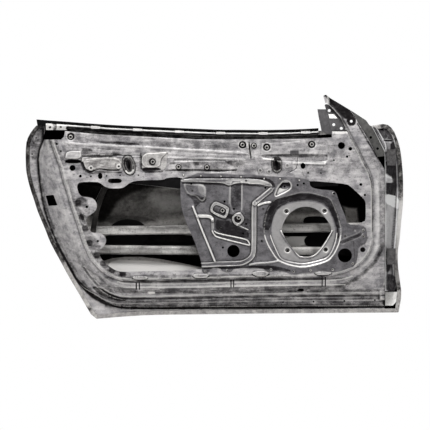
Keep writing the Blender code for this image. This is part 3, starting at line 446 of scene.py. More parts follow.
LATCH_EDGE = [
    (45, 722), (22, 696), (4, 663), (0, 626), (0, 589), (1, 552), (8, 515), (18, 478), (31, 440),
    (42, 404), (57, 367), (73, 330), (87, 292), (105, 256), (126, 219), (146, 181), (167, 144),
    (189, 108), (211, 70),
]
SILL_EDGE = [(252, 0), (294, 3), (350, 8), (461, 15), (647, 17), (868, 20), (1128, 22)]
HINGE_EDGE = [
    (1394, 91), (1387, 144), (1380, 196), (1379, 248), (1387, 292), (1393, 367), (1399, 422),
    (1400, 478), (1399, 533), (1394, 589), (1389, 626), (1379, 663), (1361, 704), (1336, 724),
]
BELT_EDGE = [
    (1287, 717), (1261, 711), (1183, 702), (1083, 697), (1017, 694), (943, 691), (794, 691), (720, 692),
    (646, 694), (572, 697), (461, 702), (387, 706), (313, 709), (239, 714), (165, 720), (91, 725),
]
skin_outline = LATCH_EDGE + SILL_EDGE + [(1374, 24), (1382, 24), (1384, 35)] + HINGE_EDGE + BELT_EDGE
skin_outline = merged(spaced(softened(plane(skin_outline), 1), 0.006), 0.001)
# Areas of the skin's inside painted dark, mostly as shade: under the waist, round and behind the beams, and behind
# small holes
SKIN_PAINTED_SHADE = [
    ([(180, 522), (591, 530), (591, 489), (461, 482), (380, 456), (335, 419), (306, 359), (261, 352), (217, 419),
      (187, 456)], 30, 0.85),
    ([(461, 530), (665, 530), (665, 482), (572, 482), (461, 496)], 14, 0.93),
    ([(231, 456), (380, 478), (646, 493), (646, 389), (461, 359), (380, 382), (276, 337), (231, 359)], 30, 0.5),
    ([(291, 389), (446, 385), (498, 356), (261, 352)], 16, 0.62),
    ([(380, 493), (491, 493), (461, 441), (380, 419)], 24, 0.58),
    (oblong(261, 315, 665, 267), 6, 0.86),
    ([(276, 248), (665, 248), (665, 185), (639, 195), (461, 230), (335, 230), (276, 211)], 2, 0.97),
    ([(943, 422), (1017, 426), (1091, 419), (1106, 389), (1017, 389), (957, 389)], 14, 0.4),
    ([(1024, 522), (1283, 522), (1283, 411), (1209, 411), (1165, 422), (1128, 456), (1024, 470)], 10, 0.96),
    ([(1224, 441), (1283, 441), (1283, 337), (1239, 337)], 10, 0.9),
    ([(1150, 441), (1183, 415), (1183, 345), (1157, 345)], 8, 0.8),
    ([(943, 326), (1143, 326), (1143, 308), (1061, 307), (943, 306)], 3, 0.93),
    (oblong(46, 737, 165, 652), 4, 0.98),
    ([(54, 478), (128, 478), (135, 400), (76, 393)], 4, 0.95),
    (oblong(739, 285, 802, 219), 4, 0.97),
    (oblong(1146, 270, 1217, 200), 4, 0.97),
    (oblong(187, 552, 439, 493), 6, 0.97),
    (oblong(672, 537, 876, 174), 4, 0.97),
    ([(276, 500), (320, 493), (276, 411), (246, 419)], 6, 0.9),
    (oblong(1143, 663, 1224, 608), 5, 0.97),
    (oblong(1002, 589, 1054, 530), 5, 0.97),
    (oblong(1228, 508, 1276, 441), 5, 0.97),
    (oblong(1220, 278, 1276, 237), 5, 0.97),
]
# Areas of the skin's inside painted light: light falling through the opening onto the lower skin, a reflected
# streak and thin lit edges
SKIN_PAINTED_LIGHT = [
    ([(320, 219), (424, 217), (498, 211), (587, 198), (646, 187), (654, 159), (350, 159), (298, 189)], 6, 1.1),
    ([(446, 478), (594, 459), (617, 411), (513, 389), (454, 426)], 55, 0.26),
    ([(957, 305), (1057, 305), (1039, 293), (1035, 270), (965, 270)], 3, 1.2),
    (ribbon([(383, 505), (461, 496), (569, 481)], 1.6), 3, 0.4),
    (ribbon([(302, 489), (265, 419)], 1.2), 2, 0.3),
    (ribbon([(283, 489), (250, 422)], 1.2), 2, 0.25),
]
# Galvanised steel that was never cleaned: large dull blotches, painted near black as shade where the light doesn't
# reach
skin_steel = mottled_steel("galvanised_skin_steel", "#8B8784", "#AFACA8", 0.3, 0.5, 220, 1.6, dirt_and_shade="#060505",
                           cavity_mm=60, cavity_low=0.6, patches=0.35)
window = plane([
    (192, 485), (193, 498), (202, 507), (265, 508), (280, 502), (294, 490), (316, 483), (357, 484),
    (372, 492), (386, 504), (406, 511), (442, 514), (510, 515), (528, 524), (573, 525), (595, 511),
    (1016, 504), (1050, 512), (1128, 506), (1191, 499), (1205, 489), (1239, 458), (1256, 440),
    (1259, 426), (1259, 365), (1246, 359), (1217, 343), (1214, 271), (1211, 233), (1198, 209),
    (1158, 205), (1124, 201), (1084, 191), (1028, 186), (972, 190), (928, 203), (669, 203), (652, 181),
    (391, 176), (357, 175), (335, 180), (314, 193), (294, 209), (280, 226), (273, 241), (273, 252),
    (280, 259), (294, 274), (300, 289), (297, 304), (283, 316), (269, 321), (252, 319), (242, 324),
    (235, 334), (228, 352), (225, 370), (230, 377), (239, 385), (258, 397), (265, 412), (265, 426),
    (258, 440), (246, 449), (209, 454), (199, 463),
])


def skin_marks(points):
    """Painted shade and painted light on the skin's inside, which light reaches only through the big opening."""
    # Away from the big opening the skin is painted near black as shade
    seen = ease((depth_in(points, window) + 0.022) / 0.02)
    return np.maximum(area_marks(points, SKIN_PAINTED_SHADE), 0.96 * (1 - seen)), area_marks(points, SKIN_PAINTED_LIGHT)


window_loop = spaced(window, 0.006)
skin_rows = area_rows(SKIN_PAINTED_SHADE + SKIN_PAINTED_LIGHT) + [inset(window_loop, off) for off in (-0.024, -0.012, 0.0)]
skin_mesh = pressed("outer_skin", skin_outline, skin_face, SKIN_SHEET, 0.012, rows=skin_rows, marks=skin_marks)
add_object("skin_sheet", skin_mesh, skin_steel, ["outer_skin"])

# The same steel handled along its fold: lighter, with small blotches, a dark seam, painted shade where the fold
# turns from the light, and a painted reflection on its hinge side
hem_steel = mottled_steel("hem_flange_steel", "#8C8988", "#C2BFBC", 0.35, 0.45, 30, 1.0, cavity_mm=8,
                          cavity_low=0.6)
HEM_SHADE_AND_SEAM = [
    ([(-39, 811), (128, 811), (83, 708), (54, 589), (128, 385), (180, 278), (150, 211), (106, 211), (17, 293),
      (-39, 441)], 8, 0.66),
    (ribbon([(117, 233), (150, 163), (194, 89), (235, 30), (252, 21), (313, 24), (387, 30)], 1.1), 1.5, 0.85),
    ([(69, 774), (1165, 774), (1165, 678), (69, 693)], 6, 0.9),
    ([(1313, 759), (1424, 759), (1424, 452), (1372, 452), (1372, 626), (1313, 700)], 6, 0.5),
    (oblong(1372, 237, 1424, 174), 8, 0.2),
    (oblong(1372, 137, 1424, 100), 6, 0.4),
]
# Painted reflection: the hinge side of the hem is painted bright
HEM_PAINTED_REFLECTION = [
    (oblong(1372, 441, 1424, 248), 6, 0.7),
]
# Section of the hem: millimetres inwards from the door's edge, and towards the cabin from the skin
HEM_PROFILE = [(15.0, 2.2), (15.0, 3.4), (1.8, 3.4), (0.6, 2.9), (0.0, 1.8), (0.0, -0.2), (0.5, -1.0), (1.6, -1.3),
               (4.0, -1.25), (4.0, 0.0), (1.8, 0.1), (1.4, 0.8), (1.4, 1.5), (1.9, 2.1)]


def folded(name, loop, profile, base):
    """Closed ring whose section, in millimetres inwards and towards the cabin, follows a loop."""
    verts, count = [], len(loop)
    y = base(loop)
    for inwards, rise in profile:
        moved = inset(loop, inwards * MM)
        verts += np.column_stack([moved[:, 0], y - rise * MM, moved[:, 1]]).tolist()
    faces = []
    for k in range(len(profile)):
        a, b = k * count, (k + 1) % len(profile) * count
        faces += [(a + i, a + (i + 1) % count, b + (i + 1) % count, b + i) for i in range(count)]
    mesh = bpy.data.meshes.new(name)
    mesh.from_pydata(verts, [], faces)
    solid = bmesh.new()
    solid.from_mesh(mesh)
    bmesh.ops.recalc_face_normals(solid, faces=solid.faces)
    solid.to_mesh(mesh)
    solid.free()
    mesh.shade_smooth()
    mesh.set_sharp_from_angle(angle=CREASE_ANGLE)
    return mesh


def marked(mesh, grime_and_shade, polish_and_light=()):
    """The mesh with its dirt and painted shade, and its rubbing and painted light, noted on its points."""
    flat = np.array([(v.co.x, v.co.z) for v in mesh.vertices])
    for word, areas in (("grime_and_shade", grime_and_shade), ("wear_and_relief_light", polish_and_light)):
        mark = mesh.attributes.new(word, "FLOAT", "POINT")
        mark.data.foreach_set("value", area_marks(flat, areas).astype(np.float32))
    return mesh


hem_mesh = marked(folded("skin_hem", skin_outline, HEM_PROFILE, skin_face), HEM_SHADE_AND_SEAM, HEM_PAINTED_REFLECTION)
add_object("skin_hem", hem_mesh, hem_steel)

# Damping pads: self-sticking bitumen sheet, pressed on the inside of the skin to stop it drumming.
# They are matt black and slightly soft at their edges.

# Bitumen: nearly black and dead matt. Its grain is finer than a millimetre and is drawn coarser, so that it shows
tar = grained("bitumen_damping_sheet", "#040404", "#0D0C0C", 2.5, 4.0, 0.9, 0.1, 0.4)
PAD_RISE, PAD_SHEET = 0.0026, 0.002
PADS = {
    "damping_pad_rear": [
        (458, 315), (449, 339), (428, 359), (398, 369), (363, 369), (332, 359), (309, 339), (302, 315),
        (309, 291), (332, 272), (363, 261), (398, 261), (428, 272), (449, 291),
    ],
    "damping_pad_front": [
        (1028, 359), (1035, 376), (1054, 380), (1098, 380), (1117, 370), (1131, 344), (1135, 300),
        (1117, 267), (1046, 267), (1033, 282), (1033, 298), (1050, 310), (1065, 326), (1039, 341),
    ],
}
for pad, pad_table in PADS.items():
    pad_outline = spaced(softened(plane(pad_table), 2), 0.004)
    pad_mesh = pressed(pad, pad_outline, lambda p: skin_face(p) - PAD_RISE, PAD_SHEET, 0.006)
    add_object(pad + "_sheet", pad_mesh, tar, [pad])

# Inner panel: the door's frame, stamped from one galvanised sheet from the hem flange to the trim face.
# Its shut face, seal land, sill and waist are steps of the same pressing, with beads and seats to stiffen it.

PANEL_SHEET = 0.0016
# Depths behind the trim face, and the steps between them
RIM_DEPTH, GROOVE_DEPTH, GROOVE_RISE, LAND_DEPTH = 0.030, 0.026, 0.012, 0.012
SHUT_FACE_STEP, TRIM_STEP, HEM_ROOM = 0.016, 0.004, 0.0022
SASH_LEAN, WAIST_UP = 0.026, 0.841
FLANGE_INSET, RIM_GAP, WALL_INSET = 0.007, 0.0008, 0.0066
seam = plane([
    (63, 664), (48, 626), (43, 589), (45, 552), (48, 515), (53, 478), (59, 440), (67, 404), (78, 367),
    (92, 330), (108, 292), (125, 259), (146, 219), (165, 185), (183, 152), (202, 124), (220, 102),
    (239, 85), (258, 70), (276, 60), (298, 51), (323, 45), (357, 40), (461, 39), (647, 41), (868, 41),
    (1128, 42), (1330, 43),
])
crest = plane([
    (69, 664), (55, 626), (50, 589), (53, 548), (60, 511), (67, 478), (73, 445), (83, 407), (94, 370),
    (108, 337), (123, 304), (137, 271), (155, 237), (174, 204), (193, 172), (211, 144), (231, 121),
    (253, 103), (276, 89), (302, 78), (332, 71), (368, 69), (461, 70), (647, 72), (868, 75), (1128, 78),
    (1330, 79),
])
groove = plane([
    (78, 664), (88, 608), (98, 567), (113, 515), (127, 460), (139, 419), (150, 385), (161, 352),
    (174, 319), (188, 287), (202, 258), (218, 228), (237, 202), (258, 179), (280, 158), (305, 142),
    (332, 130), (357, 123), (406, 118), (647, 123), (868, 126), (1054, 130), (1149, 141), (1201, 159),
    (1239, 183), (1261, 204), (1284, 226), (1298, 250), (1308, 274), (1309, 300), (1309, 478),
    (1306, 533), (1291, 578), (1273, 615), (1250, 652), (1235, 686), (1219, 722), (1211, 752),
    (1201, 774),
])
TRIM_EDGE = [
    (97, 664), (108, 630), (119, 600), (132, 563), (144, 515), (157, 478), (167, 440), (176, 412),
    (185, 385), (195, 358), (204, 330), (211, 304), (220, 278), (235, 244), (246, 222), (262, 204),
    (280, 185), (302, 168), (328, 155), (354, 147), (391, 144), (461, 146), (647, 150), (868, 156),
    (1016, 158), (1128, 163), (1183, 178), (1221, 196), (1246, 215), (1261, 233), (1273, 252),
    (1280, 274), (1284, 300), (1284, 478), (1281, 504), (1275, 526), (1268, 548), (1257, 567),
    (1245, 589), (1232, 617), (1218, 645), (1201, 676), (1191, 696),
]
trim_edge = plane(TRIM_EDGE)
rim = plane([
    (1330, 130), (1330, 330), (1330, 552), (1315, 578), (1302, 600), (1284, 638), (1268, 667),
    (1250, 696), (1232, 722), (1221, 747), (1201, 774),
])
sash = plane([
    (1165, 796), (1128, 818), (1112, 830), (1102, 826), (1109, 800), (1124, 792), (1138, 778),
    (1165, 747), (1183, 711),
])
waist = plane([
    (1183, 694), (1134, 694), (1134, 672), (1084, 669), (1016, 667), (868, 665), (647, 665), (602, 667),
    (480, 673), (386, 678), (294, 682), (202, 690), (148, 696), (143, 674), (132, 664),
])
tongue = plane([(73, 696), (67, 722)])
flange = inset(plane(LATCH_EDGE + SILL_EDGE + [(1382, 24), (1400, 24), (1400, 800)]), FLANGE_INSET)[:-3]
flange_end = np.array([[seam[-1, 0], flange[-1, 1]]])
panel_outline = np.vstack([
    flange, flange_end, seam[-1:], crest[-1:], rim, sash, trim_edge[-1:], waist, trim_edge[:1],
    trim_edge[:1] - (0.004, 0), groove[:1], crest[:1], seam[:1], tongue,
])


def closed_up(line):
    """A line from latch side to hinge side as a loop that holds all above it."""
    return np.vstack([line, line[[-1, 0]] * (1, 0) + (0, 1.2)])


def lean(points):
    """How far the sash leans outwards above the waist."""
    return SASH_LEAN * np.clip((door_shares(points)[1] - WAIST_UP) / (1 - WAIST_UP), 0, None)


def flange_depth(points):
    """Depth of the flange that the skin's hem is folded over."""
    return skin_face(points) - TRIM_FACE - HEM_ROOM


def part_way(past, short):
    """How far points lie between two lines, from their depth inside each."""
    return np.clip(past / np.maximum(past - short, 1e-6), 0, 1)


def panel_levels(points):
    """Depth of the panel's great steps, straight between its bend lines."""
    flat = flange_depth(points)
    foot = depth_in(points, closed_up(seam))
    top = depth_in(points, closed_up(crest))
    bottom = depth_in(points, closed_up(groove))
    land_end = depth_in(points, closed_up(np.vstack([trim_edge, sash[-4:][::-1]])))
    to_rim = distance(points, rim, False)
    to_crest = distance(points, crest, False)
    outer = ((flat - SHUT_FACE_STEP) * to_rim + (RIM_DEPTH + lean(points)) * to_crest) / (to_rim + to_crest)
    hollow = GROOVE_DEPTH - GROOVE_RISE * door_shares(points)[0] + lean(points)
    land = LAND_DEPTH + lean(points)
    depth = np.where(foot > 0, flat + (outer - flat) * part_way(foot, top), flat)
    depth = np.where(top > 0, outer + (hollow - outer) * part_way(top, bottom), depth)
    # Between the groove's hinge end and the rim there is no crest, so the rim takes its place
    near_rim = (points[:, 0] > -0.06) & (bottom <= 0) & (points[:, 1] > -0.16)
    depth = np.where(near_rim, outer + (hollow - outer) * to_rim / np.maximum(to_rim - bottom, 1e-6), depth)
    depth = np.where(bottom > 0, hollow + (land - hollow) * part_way(bottom, land_end - TRIM_STEP), depth)
    depth = np.where(land_end > -TRIM_STEP, land * np.clip(-land_end / TRIM_STEP, 0, 1), depth)
    return np.where(land_end > 0, 0, depth)


CELL = 0.0025
grid_x = np.arange(-1.39, 0.04, CELL)
grid_z = np.arange(-0.25, 0.63, CELL)
raster = panel_levels(np.array([(x, z) for z in grid_z for x in grid_x])).reshape(len(grid_z), len(grid_x))
for _ in range(3):
    padded = np.pad(raster, 1, mode="edge")
    raster = (padded[:-2, 1:-1] + padded[2:, 1:-1] + padded[1:-1, :-2] + padded[1:-1, 2:] + 2 * raster) / 6


def panel_form(points):
    """Depth of the panel's rounded steps, read between the points of a fine grid."""
    u = np.clip((points[:, 0] - grid_x[0]) / CELL, 0, len(grid_x) - 2)
    v = np.clip((points[:, 1] - grid_z[0]) / CELL, 0, len(grid_z) - 2)
    i, j = u.astype(int), v.astype(int)
    u, v = u - i, v - j
    return ((raster[j, i] * (1 - u) + raster[j, i + 1] * u) * (1 - v)
            + (raster[j + 1, i] * (1 - u) + raster[j + 1, i + 1] * u) * v)


def form_rows(forms):
    """Rows of points beside the edges of pressed forms."""
    rows = []
    for kind, table, half, edge, _ in forms:
        if kind == "bead":
            path = spaced(softened(plane(table), 2, False), 0.0035, False)
            left = normals(path)
            for off in (0, half * 0.5, half, half + edge * 0.35, half + edge * 0.7, half + edge):
                rows += [path + left * off * MM, path - left * off * MM]
        elif kind == "area":
            loop = spaced(softened(plane(table), 2), 0.003)
            rows += [inset(loop, off * edge * MM) for off in (-0.5, -0.2, 0, 0.2, 0.5)]
        else:
            for centre in plane(table):
                for off in (0, half * 0.5, half, half + edge * 0.33, half + edge * 0.67, half + edge):
                    count = max(8, int(off * 2.2))
                    turn = np.arange(count) / count * math.tau
                    rows.append(centre + np.column_stack([np.cos(turn), np.sin(turn)]) * off * MM)
    return rows


def form_heights(points, forms):
    """How far pressed forms stand out towards the cabin at each point."""
    total = np.zeros(len(points))
    for kind, table, half, edge, height in forms:
        path = plane(table) if kind == "spot" else softened(plane(table), 2, kind == "area")
        reach = (half + edge) * MM
        near = np.all((points > path.min(axis=0) - reach) & (points < path.max(axis=0) + reach), axis=1)
        if not near.any():
            continue
        local = points[near]
        if kind == "area":
            share = 0.5 + depth_in(local, path) / (edge * MM)
        elif kind == "bead":
            share = (half + edge - distance(local, path, False) / MM) / edge
        else:
            away = np.min([np.hypot(*(local - centre).T) for centre in path], axis=0)
            share = (half + edge - away / MM) / edge
        total[near] += height * MM * ease(share)
    return total


# Each form: bead, area or spot, its line or outline, half its flat width, its soft edge, and its height
PANEL_FORMS = [
    # Rails and troughs pressed along the waist, down to the long dark trough
    ("bead", [(161, 688), (239, 685), (387, 677), (572, 663), (780, 658)], 1.0, 3.5, 1.4),
    ("area", [(261, 661), (387, 656), (461, 659), (591, 654), (817, 648), (819, 619), (702, 626), (609, 631),
              (461, 639), (387, 647), (261, 654)], 0, 5, -1.4),
    ("bead", [(150, 654), (202, 646), (276, 644), (350, 640), (424, 636), (609, 626), (820, 612)], 1.6, 4.5, 2.0),
    ("bead", [(269, 632), (346, 628)], 0.8, 3, -1.6),
    ("area", [(202, 635), (246, 632), (250, 618), (217, 616)], 0, 8, -1.2),
    ("bead", [(213, 602), (276, 603), (357, 606), (424, 606)], 0.5, 2.5, -3.0),
    ("bead", [(524, 612), (646, 609), (813, 602)], 1, 4, 0.8),
    ("bead", [(528, 598), (646, 596), (813, 591)], 1, 3.5, 1.6),
    ("bead", [(554, 588), (646, 588), (739, 587)], 0.8, 3, -2.4),
    ("bead", [(546, 551), (646, 551), (728, 548), (780, 552)], 1.5, 4, -2.5),
    # Block and shelf at the latch end, and the seats of the weld nuts
    ("area", [(154, 622), (204, 622), (207, 617), (207, 593), (150, 593), (148, 600)], 0, 4, 4.0),
    ("area", [(150, 589), (206, 589), (206, 577), (150, 576)], 0, 2, -1.2),
    ("bead", [(130, 634), (135, 613), (128, 600)], 4, 6, 1.5),
    # Reinforcement edge, the closed trough under it and the strap
    ("bead", [(828, 652), (830, 626), (835, 595)], 0.8, 3, -3.0),
    ("bead", [(871, 652), (871, 604)], 0.5, 3, -1.2),
    ("bead", [(876, 654), (961, 655), (1024, 662)], 0.4, 2.5, -1.4),
    ("area", [(874, 610), (1113, 610), (1118, 604), (1118, 579), (983, 580), (874, 597)], 0, 7, -3.5),
    ("bead", [(883, 592), (917, 592)], 2.0, 4, 2.5),
    ("bead", [(991, 577), (1109, 574)], 1.0, 4, 3.0),
    ("bead", [(1006, 596), (1006, 567), (998, 552), (980, 545)], 0.4, 2.5, -2.0),
    ("area", [(774, 595), (787, 595), (794, 574), (789, 556), (774, 558)], 0, 3, 1.2),
    # Oval bosses over slots, and the clip seats along the sill
    ("area", [(374, 605), (391, 602), (402, 587), (408, 563), (404, 543), (391, 532), (376, 537), (363, 554),
              (357, 576), (361, 595)], 0, 5, 2),
    ("area", [(378, 591), (387, 590), (393, 576), (395, 559), (391, 548), (383, 550), (376, 561), (372, 576)], 0, 4,
     -1.4),
    ("area", [(927, 600), (940, 596), (949, 580), (950, 561), (944, 546), (931, 540), (919, 545), (911, 563),
              (910, 583), (916, 596)], 0, 5, 1.6),
    ("area", [(398, 160), (452, 160), (452, 151), (439, 146), (411, 146), (398, 151)], 0, 3.5, 3.0),
    ("area", [(620, 167), (678, 169), (678, 159), (665, 153), (633, 153), (620, 157)], 0, 3.5, 3.0),
    ("area", [(841, 177), (900, 177), (900, 167), (887, 159), (856, 159), (841, 165)], 0, 3.5, 3.0),
    ("area", [(1072, 176), (1131, 176), (1131, 169), (1119, 163), (1085, 163), (1072, 168)], 0, 3.5, 3.0),
    # Long ridges of the sill
    ("bead", [(343, 139), (372, 131), (498, 130), (646, 132), (794, 138), (1017, 142), (1165, 144), (1209, 159)],
     1.0, 4, 2.5),
    ("bead", [(335, 121), (387, 116), (609, 117), (794, 122), (1017, 126), (1183, 128)], 0.6, 3.5, 1.6),
    ("bead", [(272, 120), (303, 104), (328, 92), (365, 84), (461, 84), (646, 89), (869, 94), (1128, 98),
              (1328, 100)], 1.2, 3.5, 1.6),
    ("bead", [(217, 189), (239, 156), (269, 122), (302, 96), (343, 79), (394, 75), (461, 75), (646, 78), (869, 83),
              (1128, 85), (1328, 87)], 2.0, 3.5, -3.0),
    ("bead", [(186, 144), (210, 120), (229, 107), (257, 92), (288, 73), (319, 61), (349, 56), (461, 59), (646, 61),
              (869, 67), (1128, 69), (1328, 70)], 0.8, 3, 1.4),
    ("bead", [(319, 49), (359, 41), (424, 39), (646, 40), (1017, 42), (1328, 44)], 1.6, 3, -3.0),
    # Creases along the trim edge, and the soft lines of the shut face
    ("bead", TRIM_EDGE, 0.3, 2.2, -1.6),
    ("bead", [(106, 663), (113, 634), (125, 600), (140, 563), (154, 515), (165, 478), (173, 441), (183, 411),
              (193, 385), (202, 359), (211, 330), (219, 304), (226, 282), (235, 263), (243, 245), (254, 224),
              (269, 205), (287, 188), (309, 173), (335, 159), (354, 153), (391, 148)], 0.6, 3.0, 0.7),
    ("bead", [(76, 645), (87, 608), (98, 571), (113, 515), (128, 459), (150, 396), (176, 322), (209, 248),
              (243, 189), (283, 144), (328, 119), (372, 107)], 3.0, 9, -2.0),
    ("area", [(209, 396), (219, 369), (226, 352), (217, 350), (204, 374), (200, 395)], 0, 3, -1.5),
]
WELD_SEATS = [(169, 676), (804, 645), (893, 636), (1059, 646)]
SMALL_SEATS = [
    (846, 642), (969, 568), (567, 563), (672, 561), (869, 550), (902, 546), (1252, 310), (1241, 284),
]
PANEL_FORMS += [("spot", WELD_SEATS, 11.5, 4, -3.5), ("spot", SMALL_SEATS, 7.0, 3, 1.8)]
CLIP_WINDOWS = [
    (196, 430), (209, 378), (221, 335), (238, 282), (265, 237), (289, 207), (322, 183), (361, 169),
]
PANEL_FORMS += [("area", oblong(x_mm - 10, z_mm + 10, x_mm + 10, z_mm - 10), 0, 2, -0.8)
                for x_mm, z_mm in CLIP_WINDOWS]
# Each area of dirt and painted shade, or of rubbing and painted light: its outline, its soft edge in millimetres,
# and how strong it is
PANEL_GRIME_AND_SHADE = [
    ([(150, 672), (239, 665), (387, 656), (461, 659), (609, 654), (817, 645), (817, 617), (609, 631), (461, 638),
      (387, 644), (202, 654)], 8, 0.14),
    ([(202, 635), (246, 632), (250, 614), (350, 619), (350, 605), (217, 604)], 7, 0.45),
    ([(557, 587), (813, 588), (817, 558), (557, 558)], 12, 0.25),
    ([(617, 584), (646, 583), (643, 567), (620, 567)], 8, 0.6),
    ([(735, 586), (806, 585), (809, 574), (780, 558), (750, 571)], 8, 0.55),
    ([(876, 611), (1117, 611), (1119, 598), (987, 599), (876, 602)], 5, 0.45),
    ([(360, 600), (376, 609), (391, 608), (404, 589), (411, 559), (406, 537), (387, 530), (371, 537), (360, 556),
      (355, 578)], 3, 0.78),
    ([(913, 600), (943, 602), (952, 571), (946, 545), (928, 537), (911, 552), (909, 582)], 4, 0.85),
    ([(180, 445), (224, 456), (243, 393), (231, 345), (261, 300), (283, 263), (291, 211), (350, 182), (391, 174),
      (391, 147), (343, 150), (291, 178), (250, 222), (220, 282), (194, 359)], 6, 0.35),
    (ribbon([(343, 76), (461, 76), (646, 79), (869, 84), (1128, 87), (1328, 89)], 4.5), 4, 0.4),
    (ribbon([(112, 283), (133, 237), (161, 187), (192, 141), (223, 110), (257, 83), (288, 64), (319, 50), (359, 43),
             (461, 40), (646, 41)], 5.5), 3, 0.86),
    ([(247, 120), (266, 120), (291, 107), (316, 92), (349, 80), (380, 73), (359, 66), (328, 70), (297, 80),
      (272, 92), (254, 107)], 3, 0.72),
    ([(276, 110), (646, 105), (1313, 113), (1313, 99), (646, 94), (320, 96)], 4, 0.35),
    ([(291, 162), (1017, 168), (1017, 148), (291, 143)], 5, 0.3),
    ([(172, 256), (202, 248), (246, 182), (291, 144), (335, 119), (320, 107), (261, 133), (209, 189)], 12, 0.2),
    (ribbon([(109, 652), (123, 615), (141, 563), (155, 515), (166, 478), (175, 441), (186, 411), (195, 385),
             (205, 359), (214, 330), (222, 304), (230, 279), (239, 259), (248, 241), (259, 221), (274, 202),
             (292, 184), (314, 168), (340, 155), (372, 146), (424, 144)], 4), 4, 0.3),
    ([(135, 693), (313, 685), (528, 671), (528, 545), (350, 537), (135, 545)], 14, 0.1),
    (ribbon([(1169, 743), (1185, 704), (1209, 653), (1239, 593), (1261, 557), (1276, 520), (1282, 485), (1283, 422),
             (1283, 322)], 1.8), 2, 0.85),
    ([(294, 56), (646, 52), (1328, 59), (1328, 37), (646, 35), (294, 37)], 6, 0.55),
    ([(276, 130), (424, 113), (794, 119), (1183, 126), (1183, 104), (794, 100), (387, 90), (261, 115)], 9, 0.3),
    ([(350, 146), (1183, 156), (1183, 144), (794, 141), (350, 133)], 5, 0.45),
    (ribbon([(394, 152), (409, 144), (441, 144), (456, 152)], 2.6), 2, 0.85),
    (ribbon([(617, 158), (631, 150), (667, 150), (681, 159)], 2.6), 2, 0.85),
    (ribbon([(837, 167), (854, 157), (889, 157), (904, 167)], 2.6), 2, 0.85),
    (ribbon([(1069, 169), (1083, 161), (1120, 161), (1135, 169)], 2.6), 2, 0.85),
    (ribbon([(398, 157), (452, 157)], 4), 3, 0.3),
    (ribbon([(620, 164), (678, 165)], 4), 3, 0.3),
    (ribbon([(841, 173), (900, 173)], 4), 3, 0.3),
    (ribbon([(1072, 173), (1131, 173)], 4), 3, 0.3),
    ([(424, 685), (1128, 663), (1313, 626), (1298, 530), (757, 545), (424, 545)], 14, 0.1),
    ([(1076, 863), (1143, 830), (1202, 785), (1228, 748), (1224, 737), (1187, 737), (1165, 759), (1139, 789)], 5,
     0.8),
    (oblong(1309, 626, 1335, 41), 6, 0.08),
    (oblong(1261, 83, 1335, 37), 6, 0.4),
    (ribbon([(1228, 726), (1261, 667), (1291, 619), (1309, 585)], 3), 4, 0.6),
    (ribbon([(1324, 282), (1315, 248), (1293, 211), (1263, 178), (1224, 148), (1180, 127), (1143, 119)], 6.5), 7,
     0.42),
    (ribbon([(1304, 596), (1326, 515)], 1), 2, 0.3),
]
PANEL_GRIME_AND_SHADE += [(ring(*seat, 15), 3, 0.6) for seat in WELD_SEATS]
PANEL_GRIME_AND_SHADE += [(ring(*seat, 8.5), 3, 0.45) for seat in SMALL_SEATS]
PANEL_GRIME_AND_SHADE += [
    ([(269, 658), (387, 654), (431, 646), (387, 642), (291, 649)], 4, 0.6),
    ([(483, 654), (594, 648), (594, 636), (520, 637)], 8, 0.36),
    ([(639, 648), (728, 645), (780, 634), (720, 628), (646, 635)], 8, 0.26),
    ([(261, 631), (357, 627), (357, 624), (261, 628)], 2, 0.6),
    ([(524, 556), (783, 557), (783, 547), (524, 546)], 4, 0.55),
    ([(765, 588), (813, 585), (817, 572), (787, 574)], 4, 0.55),
    (oblong(535, 580, 557, 572), 3, 0.6),
    ([(146, 591), (209, 591), (211, 576), (148, 575)], 2, 1.0),
    ([(204, 596), (215, 596), (219, 567), (230, 551), (246, 542), (265, 549), (280, 551), (294, 547), (357, 545),
      (357, 539), (294, 541), (246, 535), (217, 548), (206, 571)], 3, 0.6),
    ([(211, 608), (357, 613), (357, 604), (211, 598)], 3, 0.55),
    ([(423, 615), (431, 615), (431, 552), (509, 552), (509, 541), (423, 541)], 3, 0.6),
    (oblong(520, 553, 780, 545), 3, 0.6),
    ([(276, 656), (424, 648), (424, 642), (276, 649)], 3, 0.5),
    ([(823, 656), (831, 656), (839, 596), (831, 596)], 2, 0.6),
    ([(76, 663), (128, 659), (187, 441), (180, 441), (98, 641), (91, 626)], 16, 0.25),
    ([(39, 708), (65, 715), (80, 696), (65, 663), (46, 626), (41, 589), (17, 589), (20, 663)], 10, 0.3),
    (ring(1206, 732, 18, 12), 2, 0.92),
]
PANEL_GRIME_AND_SHADE += [(oblong(x_mm - 13, z_mm + 12, x_mm + 13, z_mm - 12), 3, 0.72) for x_mm, z_mm in CLIP_WINDOWS]
# Rubbed areas, and lower rims and edges painted bright where light from above falls on them
PANEL_POLISH_AND_LIGHT = [
    (ribbon([(371, 550), (382, 539), (394, 542), (401, 553)], 2.6), 3, 0.7),
    ([(376, 591), (387, 591), (394, 574), (396, 556), (389, 547), (380, 553), (372, 574)], 3, 0.12),
    (ribbon([(920, 551), (931, 547), (943, 553)], 1.6), 2, 0.35),
    ([(1133, 695), (1191, 696), (1194, 685), (1135, 685)], 2, 0.9),
    ([(152, 616), (203, 617), (204, 596), (150, 596)], 3, 0.25),
    ([(991, 587), (1113, 586), (1113, 578), (991, 578)], 3, 0.7),
    ([(876, 598), (917, 596), (917, 589), (876, 590)], 3, 0.5),
    ([(1287, 515), (1308, 515), (1308, 270), (1286, 222), (1243, 185), (1228, 193), (1271, 233), (1286, 278)], 4,
     0.3),
    ([(1113, 804), (1133, 791), (1194, 689), (1189, 689), (1128, 784), (1111, 797)], 2, 0.5),
    (oblong(454, 102, 480, 93), 1.5, 1.0),
    ([(350, 35), (1350, 37), (1350, 30), (350, 27)], 4, 0.35),
    ([(372, 122), (1183, 130), (1183, 124), (372, 115)], 3, 0.3),
]
